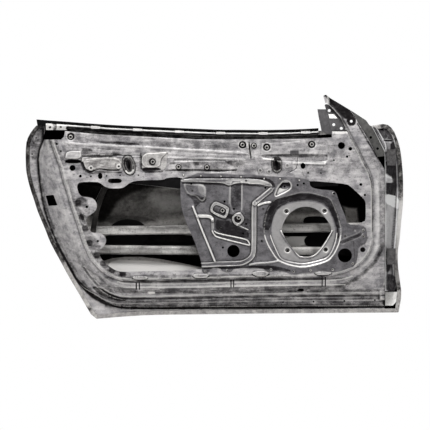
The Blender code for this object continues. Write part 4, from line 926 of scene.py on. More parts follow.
# Round holes: their places and radii. Slots: two corners, and how much is cut off each corner
PANEL_HOLES = [
    (175, 559, 11), (1169, 642, 13), (1202, 630, 7), (204, 529, 5.5), (1248, 257, 9.5),
    (1241, 498, 5.5), (1256, 459, 4.5), (117, 648, 4), (132, 621, 3.5), (1190, 601, 4.5),
    (243, 528, 3.5), (301, 530, 3.2), (351, 532, 3.2), (419, 532, 3.2), (1046, 541, 3.5),
    (1093, 540, 3.2), (1141, 588, 3.5), (228, 415, 5), (269, 289, 4.2), (269, 415, 2), (57, 704, 3),
    (39, 671, 3), (31, 652, 3), (24, 611, 3), (954, 62, 3.2), (1067, 64, 3.2), (1181, 67, 3.2),
    (1294, 70, 3.2), (691, 41, 2.6), (952, 43, 2.6), (1224, 43, 2.6),
]
SLOTS = [(269, 518, 286, 541, 6), (306, 503, 357, 520, 6), (1018, 556, 1036, 578, 6), (150, 579, 204, 588, 2)]


def circle(x_mm, z_mm, radius, sides=20):
    """Loop of points round a place."""
    turn = np.arange(sides) / sides * math.tau
    return plane([(x_mm, z_mm)]) + np.column_stack([np.cos(turn), np.sin(turn)]) * radius * MM


def cut_corners(x0, z0, x1, z1, cut):
    """Rectangle with its corners cut off."""
    return [(x0 + cut, z1), (x1 - cut, z1), (x1, z1 - cut), (x1, z0 + cut), (x1 - cut, z0), (x0 + cut, z0),
            (x0, z0 + cut), (x0, z1 - cut)]


panel_holes = [spaced(softened(window, 1), 0.004)]
panel_holes += [softened(plane(cut_corners(*slot)), 1) for slot in SLOTS]
panel_holes += [circle(*hole) for hole in PANEL_HOLES if hole[2] > 3.9]
panel_holes += [circle(*hole, 12) for hole in PANEL_HOLES if hole[2] <= 3.9]
panel_holes += [circle(1206, 732, 5.0)]
panel_holes += [spaced(plane(slot), 0.003) for slot in (
    [(371, 585), (380, 588), (387, 578), (390, 559), (387, 550), (380, 558), (374, 571)],
    [(923, 587), (929, 590), (934, 580), (937, 563), (934, 553), (928, 559), (924, 574)],
    [(74, 457), (104, 460), (119, 421), (85, 419)],
    oblong(408, 135, 413, 109), oblong(420, 135, 424, 109),
    oblong(759, 146, 763, 117), oblong(769, 146, 773, 117),
    oblong(1096, 156, 1100, 120), oblong(1108, 156, 1112, 120),
    [(1004, 107), (1013, 113), (1026, 113), (1033, 107), (1026, 102), (1013, 102)],
)]
panel_rows = form_rows(PANEL_FORMS) + area_rows(PANEL_GRIME_AND_SHADE + PANEL_POLISH_AND_LIGHT)
for line in (seam, crest, groove, trim_edge, rim):
    path = spaced(softened(line, 1, False), 0.004, False)
    left = normals(path)
    panel_rows += [path + left * off for off in (-0.009, -0.006, -0.003, 0, 0.003, 0.006, 0.009)]


def panel_face(points):
    """World y of the panel's cabin face."""
    return TRIM_FACE + panel_form(points) - form_heights(points, PANEL_FORMS)


def panel_marks(points):
    """How much dirt and painted shade each point of the panel takes, and how far it is rubbed bright or painted
    light.
    """
    mark_amount = area_marks(points, PANEL_GRIME_AND_SHADE)
    to_seam = depth_in(points, closed_up(seam))
    to_crest = depth_in(points, closed_up(crest))
    # Painted shade: a dark band on the foot wall just past the seam
    foot_wall_shade = ease((to_seam + 0.001) / 0.002) * ease((0.0015 - to_crest) / 0.003)
    mark_amount = np.maximum(mark_amount, foot_wall_shade * (0.3 + 0.6 * ease((0.008 - to_seam) / 0.004)))
    return mark_amount, area_marks(points, PANEL_POLISH_AND_LIGHT)


# Galvanised sheet worn by years of use: mid grey mottling, its ridges painted nearly white as rubbing and
# highlight, and its hollows painted black as shade
panel_steel = mottled_steel("galvanised_panel_steel", "#7C7A7D", "#C2BFBF", 0.25, 0.5)
panel_mesh = pressed("inner_panel", merged(spaced(panel_outline, 0.005), 0.001), panel_face, PANEL_SHEET, 0.006,
                     panel_holes, panel_rows, panel_marks, apart=0.0024)
add_object("panel_stamping", panel_mesh, panel_steel, ["inner_panel"])

# Carrier plate: a second pressing screwed over the front of the opening, in dark coated steel.
# It carries the window lift and the speaker, so it has a round seat, ribs, pads and many small holes.

CARRIER_FACE = -0.0023
SPEAKER_SUNK = 0.010
CARRIER_SHEET = 0.002
SPEAKER_OUTER = [
    (883, 337), (889, 382), (902, 417), (920, 441), (943, 450), (980, 459), (1017, 469), (1035, 470),
    (1061, 467), (1091, 458), (1120, 450), (1131, 441), (1143, 415), (1157, 378), (1167, 337),
    (1167, 311), (1161, 282), (1146, 248), (1131, 228), (1117, 215), (1072, 201), (1028, 192),
    (987, 198), (954, 209), (931, 222), (913, 248), (894, 282), (885, 311),
]
SPEAKER_INNER = [
    (904, 330), (907, 359), (917, 393), (931, 417), (954, 428), (987, 439), (1017, 445), (1039, 446),
    (1069, 441), (1094, 435), (1111, 426), (1126, 408), (1139, 378), (1149, 345), (1153, 319),
    (1149, 289), (1138, 259), (1126, 237), (1111, 224), (1072, 213), (1028, 204), (991, 209), (957, 217),
    (941, 228), (928, 256), (913, 289), (906, 311),
]
SPEAKER_LIP = [
    (946, 326), (967, 291), (989, 263), (1011, 234), (1020, 230), (1054, 230), (1072, 237), (1089, 254),
    (1109, 280), (1134, 326),
]
SPEAKER_SEATS = [(966, 399), (1107, 400), (970, 255), (1111, 257)]
CARRIER_FORMS = [
    # Seat land along the top, and the raised pad at its latch end
    ("area", [(576, 520), (731, 520), (813, 520), (869, 517), (906, 505), (917, 489), (898, 491), (883, 495),
              (861, 500), (835, 499), (813, 504), (780, 504), (757, 493), (743, 497), (731, 504), (665, 505),
              (628, 509), (576, 506)], 0, 2.5, 3.2),
    ("area", [(583, 504), (609, 500), (670, 500), (670, 446), (657, 433), (643, 439), (631, 454), (606, 458),
              (591, 474)], 0, 9, 3.5),
    ("area", [(761, 511), (780, 511), (800, 511), (800, 478), (800, 441), (800, 396), (781, 389), (761, 411),
              (761, 459)], 0, 5, -2.0),
    # Ribs: the long diagonal with its branch, the bar under the pads, and the band to the speaker seat
    ("bead", [(621, 415), (636, 376), (657, 322), (680, 267), (702, 213)], 1.6, 3.5, 5),
    ("bead", [(637, 381), (678, 381), (689, 376), (693, 367)], 4, 4, 6),
    ("bead", [(693, 367), (694, 345), (694, 322)], 3, 4, 3),
    ("bead", [(700, 326), (709, 317), (817, 296), (826, 287), (831, 275)], 1.3, 2.6, 4.5),
    ("bead", [(692, 326), (700, 310), (713, 302), (830, 273)], 1.3, 2.6, 4.5),
    ("bead", [(646, 200), (694, 201), (709, 204), (794, 206), (813, 211), (831, 223), (844, 241), (846, 293),
              (846, 348), (846, 415), (848, 428)], 7.5, 3, 5),
    ("bead", [(646, 207), (687, 208), (702, 213), (794, 213), (809, 219), (826, 230)], 0.8, 2.2, 1.2),
    ("bead", [(646, 195), (702, 196), (794, 198), (809, 204), (826, 213), (840, 221), (850, 232), (854, 256)], 0.8,
     2.2, 1.2),
    ("bead", [(848, 428), (857, 436), (880, 456), (909, 479)], 7.0, 3, 5),
    ("bead", [(846, 437), (865, 448), (904, 481)], 0.8, 2.2, 1.5),
    ("bead", [(861, 421), (876, 428), (906, 433)], 2.2, 3, 5),
    ("bead", [(831, 202), (861, 207), (906, 209), (935, 215)], 1.6, 3, 2.5),
    # Pads for the lift's pivots, with their floors set back
    ("area", [(683, 408), (691, 426), (702, 435), (713, 433), (754, 415), (754, 400), (746, 378), (735, 370),
              (687, 393)], 0, 3, 7),
    ("area", [(693, 408), (700, 420), (709, 423), (743, 408), (743, 393), (737, 382), (728, 383), (693, 400)], 0,
     2.5, -4),
    ("area", [(767, 382), (780, 393), (794, 397), (802, 387), (812, 372), (802, 356), (787, 343), (772, 352),
              (763, 369)], 0, 3, 6),
    ("area", [(776, 382), (794, 381), (800, 370), (794, 356), (780, 356), (771, 369)], 0, 2.5, -4),
    ("bead", [(783, 348), (794, 345), (823, 331)], 1.0, 2.5, 3),
    # Teardrop pocket and the seats round the speaker
    ("area", [(924, 458), (931, 478), (944, 498), (959, 511), (974, 509), (982, 496), (980, 483), (965, 473),
              (943, 463), (930, 456)], 0, 4.5, -7),
    ("bead", SPEAKER_INNER + SPEAKER_INNER[:1], 0.6, 2.4, 1.2),
    ("bead", SPEAKER_LIP, 0.8, 2.6, 2.6),
    ("spot", SPEAKER_SEATS, 6, 4, -2.5),
    ("spot", [(1140, 465)], 3, 4, 2.0),
    ("spot", [(1220, 327), (1183, 307)], 3, 3, -1),
    ("bead", [(1169, 283), (1187, 293), (1228, 308), (1244, 319)], 3.5, 5, -1.6),
    ("bead", [(1215, 289), (1217, 256), (1222, 211)], 0.6, 3, 0.4),
]
# Dirt, and painted shade on the speaker seat's upper wall, in the pad floors and in the pocket
CARRIER_GRIME_AND_SHADE = [
    (ribbon([(893, 359), (902, 396), (924, 435), (980, 450), (1035, 459), (1083, 450), (1119, 435), (1140, 396),
             (1155, 345), (1156, 300)], 4), 6, 0.8),
    ([(598, 465), (631, 461), (657, 452), (669, 456), (669, 437), (657, 430), (643, 433), (630, 448), (602, 453)],
     3, 0.6),
    (ribbon([(1161, 285), (1187, 291), (1228, 307)], 3.5), 3, 0.5),
    (ribbon([(1214, 289), (1216, 256), (1219, 226)], 1.2), 2, 0.5),
    ([(702, 369), (728, 367), (761, 363), (783, 341), (828, 326), (828, 293), (706, 320)], 5, 0.7),
    ([(763, 498), (780, 499), (798, 498), (798, 478), (798, 441), (798, 408), (780, 404), (761, 419), (761, 459)],
     6, 0.4),
    ([(806, 441), (839, 441), (839, 307), (806, 337)], 8, 0.3),
    ([(594, 463), (609, 454), (639, 454), (661, 437), (643, 428), (628, 411), (620, 441)], 4, 0.6),
    ([(694, 415), (743, 400), (739, 382), (694, 398)], 3, 0.45),
    ([(774, 383), (798, 383), (802, 356), (772, 356)], 3, 0.9),
    ([(746, 393), (772, 385), (774, 370), (754, 370), (743, 382)], 2, 0.85),
    ([(694, 405), (691, 387), (739, 363), (757, 374), (754, 382)], 3, 0.5),
    ([(939, 485), (944, 500), (959, 513), (976, 511), (983, 496), (972, 489), (957, 499), (946, 482)], 3, 0.75),
    ([(876, 330), (883, 385), (906, 433), (943, 452), (1028, 469), (1098, 457), (1135, 441), (1161, 378),
      (1169, 337), (1150, 337), (1137, 382), (1113, 424), (1069, 439), (1028, 443), (957, 428), (920, 393),
      (907, 330)], 4, 0.72),
    ([(1169, 289), (1228, 313), (1246, 322), (1246, 311), (1228, 300), (1172, 276)], 3, 0.5),
    ([(661, 193), (794, 192), (854, 199), (913, 199), (980, 184), (980, 174), (913, 185), (661, 185)], 3, 0.7),
    ([(580, 505), (731, 504), (757, 493), (780, 504), (883, 494), (883, 488), (780, 497), (757, 485), (731, 497),
      (580, 499)], 2.5, 0.7),
    ([(572, 527), (876, 526), (913, 515), (928, 489), (917, 488), (906, 508), (869, 520), (572, 521)], 2.5, 0.6),
]
TALL_RIBS = [(table, half) for kind, table, half, _, height in CARRIER_FORMS
             if kind == "bead" and height > 4 and half < 6]
# Tall ribs are rubbed bright, and the rims' lower halves are painted bright where light from above falls on them
CARRIER_POLISH_AND_LIGHT = [(ribbon(table, half + 1.2), 2.5, 0.55) for table, half in TALL_RIBS]
CARRIER_POLISH_AND_LIGHT += [
    (ribbon([(x_mm - 9, z_mm - 3), (x_mm - 5, z_mm - 8.5), (x_mm + 4, z_mm - 9), (x_mm + 9, z_mm - 3)], 2), 2, 1.0)
    for x_mm, z_mm in SPEAKER_SEATS]
CARRIER_POLISH_AND_LIGHT += [
    (ribbon(SPEAKER_LIP, 2.2), 2, 1.0),
    (ribbon([spot for spot in SPEAKER_INNER if spot[1] < 320], 2.2), 2, 0.9),
    (ribbon([spot for spot in SPEAKER_OUTER if spot[1] < 320], 2.0), 2, 0.75),
    (ribbon([spot for spot in SPEAKER_OUTER if spot[1] < 240], 2.6), 2, 1.0),
    (ribbon([(800, 496), (800, 448), (799, 404)], 1.2), 2, 0.5),
    (ribbon([(757, 493), (755, 456), (754, 426)], 3), 5, 0.3),
    ([(635, 498), (667, 498), (667, 456), (643, 463)], 4, 0.25),
    ([(920, 457), (928, 476), (939, 487), (954, 480), (972, 483), (980, 491), (980, 478), (957, 465), (931, 454)],
     2, 1.0),
    ([(850, 433), (876, 439), (909, 436), (909, 428), (876, 424), (857, 413)], 2.5, 0.85),
    ([(739, 516), (876, 515), (906, 500), (876, 499), (743, 500)], 4, 0.4),
    ([(909, 326), (913, 363), (928, 400), (957, 424), (1028, 439), (1091, 430), (1120, 408), (1141, 370),
      (1150, 319), (1128, 241), (1076, 215), (1028, 207), (957, 220), (939, 237), (913, 296)], 4, 0.36),
    ([(920, 456), (931, 468), (965, 479), (983, 489), (980, 478), (957, 465), (931, 454)], 2, 0.9),
    ([(839, 433), (850, 433), (850, 233), (837, 230)], 3, 0.25),
    ([(631, 388), (680, 388), (691, 378), (680, 376), (639, 376)], 2, 0.5),
]


def carrier_form(points):
    """Depth of the carrier's face, with the speaker seat sunk between its two rims."""
    outer = depth_in(points, softened(plane(SPEAKER_OUTER), 1))
    inner = depth_in(points, softened(plane(SPEAKER_INNER), 1))
    sunk = part_way(outer, inner) * (outer > 0)
    return TRIM_FACE + CARRIER_FACE + SPEAKER_SUNK * sunk - form_heights(points, CARRIER_FORMS)


carrier_holes = [spaced(softened(plane([
    (946, 330), (958, 363), (974, 389), (998, 407), (1023, 416), (1050, 416), (1077, 407), (1096, 391),
    (1114, 370), (1128, 349), (1134, 328), (1120, 304), (1098, 271), (1078, 246), (1057, 231),
    (1021, 231), (1004, 243), (983, 267), (962, 296),
]), 1), 0.003)]
carrier_holes += [circle(770, 252, 23.0, 32), circle(1182, 236, 26.0, 32)]
SMALL_HOLES = [
    (614, 501), (618, 475), (817, 512), (888, 486), (737, 435), (772, 408), (720, 337), (817, 352),
    (806, 317), (731, 265), (876, 289), (880, 408), (1007, 496), (1030, 502), (959, 491), (1220, 327),
    (1183, 307), (1141, 465),
]
carrier_holes += [circle(*place, 4.2, 14) for place in SMALL_HOLES]
# Thin grey coating over steel: darker and smoother than the panel, so the plate stands out from it
carrier_steel = mottled_steel("coated_carrier_steel", "#4C4A4D", "#767477", 0.35, 0.4, 60, 2.0, dirt_and_shade="#1E1C1E")
carrier_outline = spaced(softened(plane([
    (574, 541), (832, 533), (924, 526), (998, 524), (1035, 519), (1051, 511), (1053, 493), (1065, 485),
    (1091, 479), (1128, 477), (1148, 473), (1159, 440), (1170, 412), (1186, 374), (1189, 351),
    (1246, 347), (1263, 334), (1263, 280), (1232, 272), (1228, 226), (1217, 195), (1201, 190),
    (1158, 174), (1120, 174), (1109, 182), (1079, 182), (1065, 173), (1035, 172), (1002, 166),
    (983, 166), (962, 176), (928, 180), (913, 176), (890, 180), (876, 190), (773, 190), (762, 175),
    (731, 175), (721, 190), (687, 190), (678, 171), (654, 171), (652, 211), (631, 274), (616, 311),
    (598, 349), (581, 397), (574, 440),
]), 1), 0.004)
carrier_mesh = pressed("carrier", carrier_outline, carrier_form, CARRIER_SHEET, 0.005, carrier_holes,
                       form_rows(CARRIER_FORMS) + area_rows(CARRIER_GRIME_AND_SHADE + CARRIER_POLISH_AND_LIGHT),
                       marks_of(CARRIER_GRIME_AND_SHADE, CARRIER_POLISH_AND_LIGHT))
add_object("carrier_stamping", carrier_mesh, carrier_steel, ["carrier_plate"])

# Impact beams: two hat sections of high-strength steel behind the openings, welded to the end walls.
# A cross bar of one section is swept along each line.

BEAM_STEPS, BEAM_END_GAP, BEAM_END_REACH = 240, 0.002, 0.02
# Half the section's height and its depth towards the skin
BEAM_SECTION = [
    (-17, 14), (-15.6, 14), (-15, 3), (-13, 0.6), (-12, 0), (12, 0), (13, 0.6), (15, 3), (15.6, 14),
    (17, 14), (17, 16), (14.4, 16), (13.6, 4), (11.8, 2), (-11.8, 2), (-13.6, 4), (-14.4, 16),
    (-17, 16),
]
# Rolled high-strength steel: even, pale and long-streaked, with a soft shine
grey_steel = mottled_steel("rolled_beam_steel", "#B4B1AE", "#D6D4D1", 0.3, 0.42, 90, 10.0, cavity_mm=30,
                           cavity_low=0.8)
# Painted shade on the beams: near black where they lie behind the carrier and in the front opening, and darker in
# bands along both beams
BEAM_PAINTED_SHADE = [
    (oblong(202, 356, 691, 336), 3, 0.42),
    (oblong(217, 278, 706, 258), 3, 0.25),
    ([(528, 278), (706, 278), (706, 211), (550, 211)], 6, 0.3),
    (oblong(691, 322, 861, 196), 6, 0.96),
    (oblong(1146, 282, 1291, 193), 6, 0.96),
    (oblong(1061, 359, 1143, 211), 14, 0.2),
    (oblong(239, 282, 665, 233), 6, 0.2),
]


def line_mesh(name, points, closed=False):
    """Mesh of edges through points."""
    count = len(points)
    mesh = bpy.data.meshes.new(name)
    mesh.from_pydata([tuple(map(float, point)) for point in points],
                     [(i, (i + 1) % count) for i in range(count if closed else count - 1)], [])
    return mesh


def grown(name, mesh, build, values):
    """Plain mesh made by a node tree that a builder fills, from a mesh and named inputs."""
    tree = bpy.data.node_groups.new(name, "GeometryNodeTree")
    tree.interface.new_socket("Geometry", in_out="INPUT", socket_type="NodeSocketGeometry")
    names = {}
    for word, (kind, _) in values.items():
        names[word] = tree.interface.new_socket(word, in_out="INPUT", socket_type=kind).identifier
    tree.interface.new_socket("Geometry", in_out="OUTPUT", socket_type="NodeSocketGeometry")
    start = tree.nodes.new("NodeGroupInput")
    made = build(tree, start.outputs)
    real = add(tree, "GeometryNodeRealizeInstances", {}, {"Geometry": made})
    coated = add(tree, "GeometryNodeSetMaterial", {},
                 {"Geometry": real.outputs[0], "Material": start.outputs["Finish"]})
    end = tree.nodes.new("NodeGroupOutput")
    tree.links.new(coated.outputs[0], end.inputs[0])
    holder = bpy.data.objects.new(name, mesh)
    bpy.context.collection.objects.link(holder)
    modifier = holder.modifiers.new(name, "NODES")
    modifier.node_group = tree
    for word, (_, value) in values.items():
        modifier[names[word]] = value
    bpy.context.view_layer.update()
    plain = bpy.data.meshes.new_from_object(holder.evaluated_get(bpy.context.evaluated_depsgraph_get()))
    bpy.data.objects.remove(holder)
    plain.name = name
    return plain


def sweep(tree, given):
    """A section carried along a path, its ends closed."""
    path = add(tree, "GeometryNodeMeshToCurve", {}, {"Mesh": given["Geometry"]})
    path = add(tree, "GeometryNodeSetCurveNormal", {"mode": "Z_UP"}, {"Curve": path.outputs[0]})
    section = add(tree, "GeometryNodeObjectInfo", {}, {"Object": given["Section"]})
    section = add(tree, "GeometryNodeMeshToCurve", {}, {"Mesh": section.outputs["Geometry"]})
    bar = add(tree, "GeometryNodeCurveToMesh", {}, {"Curve": path.outputs[0], "Profile Curve": section.outputs[0],
                                                   "Fill Caps": True})
    return bar.outputs[0]


def outward(mesh, angle=35):
    """The mesh with its faces turned outwards and its sharp edges kept."""
    solid = bmesh.new()
    solid.from_mesh(mesh)
    bmesh.ops.remove_doubles(solid, verts=solid.verts, dist=1e-6)
    bmesh.ops.recalc_face_normals(solid, faces=solid.faces)
    solid.to_mesh(mesh)
    solid.free()
    mesh.shade_smooth()
    mesh.set_sharp_from_angle(angle=math.radians(angle))
    return mesh


section_mesh = line_mesh("beam_section", [(-deep * MM, up * MM, 0) for up, deep in BEAM_SECTION], True)
section_holder = bpy.data.objects.new("beam_section", section_mesh)
bpy.context.collection.objects.link(section_holder)
for node in ("upper_impact_beam", "lower_impact_beam"):
    low_end, high_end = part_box(node)
    verts = np.array([v.co[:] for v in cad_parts[node].data.vertices])
    ends = [verts[np.abs(verts[:, 0] - x) < BEAM_END_REACH].mean(axis=0) for x in (low_end[0], high_end[0])]
    run = np.linspace((low_end[0] + BEAM_END_GAP, low_end[1], ends[0][2]),
                      (high_end[0] - BEAM_END_GAP, low_end[1], ends[1][2]), BEAM_STEPS)
    bar = grown(node + "_bar", line_mesh(node, run), sweep,
                {"Section": ("NodeSocketObject", section_holder), "Finish": ("NodeSocketMaterial", grey_steel)})
    add_object(node + "_bar", marked(outward(bar), BEAM_PAINTED_SHADE), None, [node])
bpy.data.objects.remove(section_holder)

# Weld nuts, screws and rivets: zinc-plated heads, each kind turned once and set on its points.
# The nuts stand in dimples with an open thread; rivets are plain domes.

# Zinc plating: small, bright and metallic, with dirt and painted shade, black, in the threads and round the foot of
# each head
zinc = mottled_steel("zinc_plated_fastener", "#A09D9A", "#D2D0CC", 0.5, 0.35, 8, 1.0)


def turned(name, profile, sides):
    """Closed mesh of a profile turned about Y: rows of radius, height towards the cabin, and how dark it is painted
    for dirt and shade.
    """
    verts, faces = [], []
    for radius, height, mark_amount in profile:
        for i in range(sides):
            turn = math.tau * i / sides
            verts.append((radius * MM * math.cos(turn), -height * MM, radius * MM * math.sin(turn)))
    for k in range(len(profile) - 1):
        a, b = k * sides, (k + 1) * sides
        faces += [(a + i, a + (i + 1) % sides, b + (i + 1) % sides, b + i) for i in range(sides)]
    faces += [tuple(range(sides)), tuple(range((len(profile) - 1) * sides, len(profile) * sides))]
    mesh = bpy.data.meshes.new(name)
    mesh.from_pydata(verts, [], faces)
    dirt_and_shade = mesh.attributes.new("grime_and_shade", "FLOAT", "POINT")
    dirt_and_shade.data.foreach_set("value", np.repeat([row[2] for row in profile], sides).astype(np.float32))
    return outward(mesh, 40)


def set_on_points(tree, given):
    """A head placed on every point."""
    head = add(tree, "GeometryNodeObjectInfo", {}, {"Object": given["Head"], "As Instance": True})
    placed = add(tree, "GeometryNodeInstanceOnPoints", {},
                 {"Points": given["Geometry"], "Instance": head.outputs["Geometry"]})
    return placed.outputs[0]


# Each row: radius, height towards the cabin, and how dark the colour is painted, for dirt in the thread and the
# shadow round the head's foot
NUT = [
    (1.0, 0.8, 1.0), (3.6, 0.9, 1.0), (4.0, 4.6, 0.9), (4.6, 5.8, 0.2), (6.0, 6.0, 0.0),
    (7.4, 5.0, 0.1), (7.8, 2.4, 0.9), (9.4, 2.2, 0.92), (10.4, 1.2, 0.9), (10.6, -1.0, 0.9),
    (1.0, -1.0, 0.0),
]
SMALL_NUT = [(0.6, 0.6, 1.0), (2.4, 0.7, 1.0), (2.8, 3.2, 0.8), (3.8, 3.7, 0.45), (4.8, 3.0, 0.5), (5.1, 1.4, 0.9),
             (6.4, 1.2, 0.8), (6.6, -1.0, 0.7), (0.6, -1.0, 0.0)]
RIVET = [(0.8, 2.6, 0.0), (2.4, 2.2, 0.0), (3.6, 1.2, 0.5), (4.0, -0.6, 0.8), (0.8, -0.6, 0.0)]
SCREW = [
    (1.0, 1.6, 1.0), (2.0, 1.8, 0.9), (2.2, 3.4, 0.3), (3.8, 3.2, 0.0), (4.6, 2.2, 0.2),
    (5.0, 0.8, 0.6), (5.2, -0.8, 0.8), (1.0, -0.8, 0.0),
]
# Each kind: its head and how many sides it has, the nodes it stands for, and the face it sits on and off
FASTENERS = [
    ("waist_nuts", NUT, 20, "waist_bolt_", panel_face, 0.0),
    ("pad_nuts", NUT, 20, "pad_bolt_", carrier_form, 0.0),
    ("dish_nut", NUT, 20, "dish_bolt_", panel_face, 0.0045),
    ("carrier_rivets", RIVET, 12, "carrier_rivet_", carrier_form, 0.0),
    ("carrier_screws", SCREW, 12, "carrier_screw_", carrier_form, 0.0),
    ("speaker_nuts", SMALL_NUT, 16, "speaker_nut_", carrier_form, 0.0),
]
for name, profile, sides, prefix, face, lift in FASTENERS:
    nodes = sorted(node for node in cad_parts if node.startswith(prefix))
    boxes = [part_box(node) for node in nodes]
    middles = np.array([[(low[0] + high[0]) / 2, (low[2] + high[2]) / 2] for low, high in boxes])
    deep = face(middles) - lift
    head = bpy.data.objects.new(name + "_head", turned(name + "_head", profile, sides))
    bpy.context.collection.objects.link(head)
    points = bpy.data.meshes.new(name)
    points.from_pydata([(x, y, z) for (x, z), y in zip(middles.tolist(), deep.tolist())], [], [])
    heads = grown(name, points, set_on_points,
                  {"Head": ("NodeSocketObject", head), "Finish": ("NodeSocketMaterial", zinc)})
    bpy.data.objects.remove(head)
    add_object(name, outward(heads, 40), None, nodes)

# Small plates on the waist: a lock reinforcement, a dished striker plate and a cable clip plate.
# They are pressed from thin bare sheet and spot-welded on the panel's face.

PLATE_FACE = TRIM_FACE - 0.0015
PLATE_SHEET = 0.0012
PATCH_SEATS = [(243, 559), (346, 565)]
PATCH_FORMS = [
    ("area", [(217, 593), (355, 600), (355, 553), (313, 552), (280, 558), (250, 548), (239, 548), (224, 556),
              (217, 574)], 0, 4, 2.0),
    ("spot", PATCH_SEATS, 8, 3.5, 2.0),
    ("spot", PATCH_SEATS, 2.6, 1.6, -4.0),
    ("bead", [(219, 585), (235, 586)], 0.8, 2.5, -1.5),
    ("bead", [(278, 574), (289, 573)], 1.4, 2.5, -1.5),
]
# Dirt, and painted shade along the patch's lower and upper edges and in its seats
PATCH_GRIME_AND_SHADE = [
    ([(206, 582), (215, 582), (223, 558), (239, 550), (251, 552), (269, 560), (291, 557), (313, 555), (361, 555),
      (361, 541), (206, 541)], 2, 0.9),
    ([(206, 611), (365, 611), (365, 602), (217, 595)], 2, 0.7),
    ([(240, 562), (248, 562), (247, 554), (239, 555)], 2, 1.0),
    ([(344, 569), (351, 568), (351, 561), (343, 562)], 2, 1.0),
    ([(217, 596), (354, 602), (354, 556), (224, 559)], 5, 0.12),
]
PATCH_OUTLINE = [
    (211, 598), (357, 605), (357, 549), (313, 549), (294, 551), (280, 555), (265, 552), (252, 545),
    (239, 544), (228, 548), (219, 557), (211, 571), (209, 589),
]
DISH_FORMS = [
    ("area", [(431, 613), (491, 615), (523, 619), (523, 613), (500, 594), (499, 560), (431, 560)], 0, 3, 2.6),
    ("spot", [(462, 579)], 12, 3, -1.2),
]
# Painted shadow along the dish plate's lower and latch-side edges, and painted shade round its nut
DISH_PAINTED_SHADE = [
    (oblong(428, 561, 500, 545), 2, 0.97),
    ([(426, 615), (432, 615), (433, 559), (426, 559)], 2, 0.75),
    (ring(470, 582, 14.5), 3, 0.6),
]
DISH_OUTLINE = [
    (429, 616), (518, 621), (528, 614), (524, 599), (522, 555), (491, 551), (446, 551), (430, 556),
]
# Bare stamped sheet, a little duller than the panel and with smaller blotches
plate_steel = mottled_steel("stamped_plate_steel", "#807D7C", "#BDBAB8", 0.3, 0.48, 30)


def plate_mesh(name, table, forms, grime_and_shade):
    """Pressed plate on the panel's face."""
    return pressed(name, spaced(softened(plane(table), 1), 0.004), lambda p: PLATE_FACE - form_heights(p, forms),
                   PLATE_SHEET, 0.004, rows=form_rows(forms) + area_rows(grime_and_shade), marks=marks_of(grime_and_shade))


add_object("waist_patch_plate", plate_mesh("waist_patch", PATCH_OUTLINE, PATCH_FORMS, PATCH_GRIME_AND_SHADE), plate_steel,
           ["waist_patch"])
add_object("dish_plate_pressing", plate_mesh("dish_plate", DISH_OUTLINE, DISH_FORMS, DISH_PAINTED_SHADE), plate_steel,
           ["dish_plate"])

# Belt line: a black rubber sealing strip over a pale sealed rail, with six spring tabs between.
# Below its pale fold the rail drops into the dark window slot.

STRIP_TOP = [
    (41, 739), (91, 735), (165, 730), (239, 724), (313, 719), (387, 715), (461, 712), (572, 707),
    (646, 704), (720, 701), (794, 701), (869, 700), (943, 701), (1017, 703), (1085, 707),
]
rail_line = plane([
    (46, 736), (91, 734), (165, 729), (239, 724), (314, 718), (386, 715), (461, 711), (573, 706),
    (647, 703), (721, 701), (794, 700), (942, 700), (1016, 703), (1084, 706),
]) - (0, 0.0092)
STRIP_HIGH, STRIP_RISE, STRIP_DEEP = 0.0118, 0.0168, 0.012
RAIL_SHEET, RAIL_RISE, RAIL_HIGH, SKIRT_BACK = 0.0012, 0.0165, 0.024, 0.019
TAB_SHEET, TAB_RISE, FOLD_SLOPE = 0.0008, 0.0182, 0.9


def below_strip(points):
    """How far each point lies below the strip's lower edge."""
    return np.interp(points[:, 0], rail_line[:, 0], rail_line[:, 1]) - points[:, 1]


# Black rubber gone grey-matt. Its fine grain is drawn coarser, so that it shows
rubber = grained("black_belt_rubber", "#030303", "#0B0B0B", 6, 3.0, 0.85, 0.15)
strip_top = softened(plane(STRIP_TOP), 1, False)
strip_low = strip_top - (0, STRIP_HIGH)
strip_low[:, 1] -= 0.009 * ease((across(91) - strip_low[:, 0]) / 0.03)
strip_low[0, 0] += 0.003
strip_outline = merged(spaced(np.vstack([strip_top, strip_low[::-1]]), 0.006), 0.001)
strip_mesh = pressed("belt_strip", strip_outline, lambda p: skin_face(p) - STRIP_RISE, STRIP_DEEP, 0.01)
add_object("belt_strip_rubber", strip_mesh, rubber, ["belt_strip"])
# Pale seam sealer and primer over steel: a clean light line that sets off the black strip
pale_rail = mottled_steel("pale_sealed_rail", "#C4C2BF", "#DAD8D5", 0.0, 0.45, 40, 3.0, bright="#FFFFFF",
                          dirt_and_shade="#1C1A1C", cavity_mm=6, cavity_low=0.9)
TABS = [(259, 710), (415, 702), (570, 695), (723, 690), (880, 688), (1037, 692)]
TAB_HALF, TAB_UP, TAB_DOWN = 16.5, 6.4, 5.6
SKIRT_START, BRACKET_GAP = across(152), across(109)
rail_top = strip_low[strip_low[:, 0] > across(80)] + (0, 0.0006)
rail_low = rail_top[rail_top[:, 0] > across(154)] - (0, RAIL_HIGH)
rail_outline = np.vstack([plane([(76, 700), (76, 725)]), rail_top, rail_low[::-1], plane([(150, 700)])])
rail_outline = merged(spaced(rail_outline, 0.005), 0.001)


def in_gap(points, half):
    """How far points lie in the gap between the rail and its end bracket."""
    return ease((half - np.abs(points[:, 0] - BRACKET_GAP)) / 0.002)


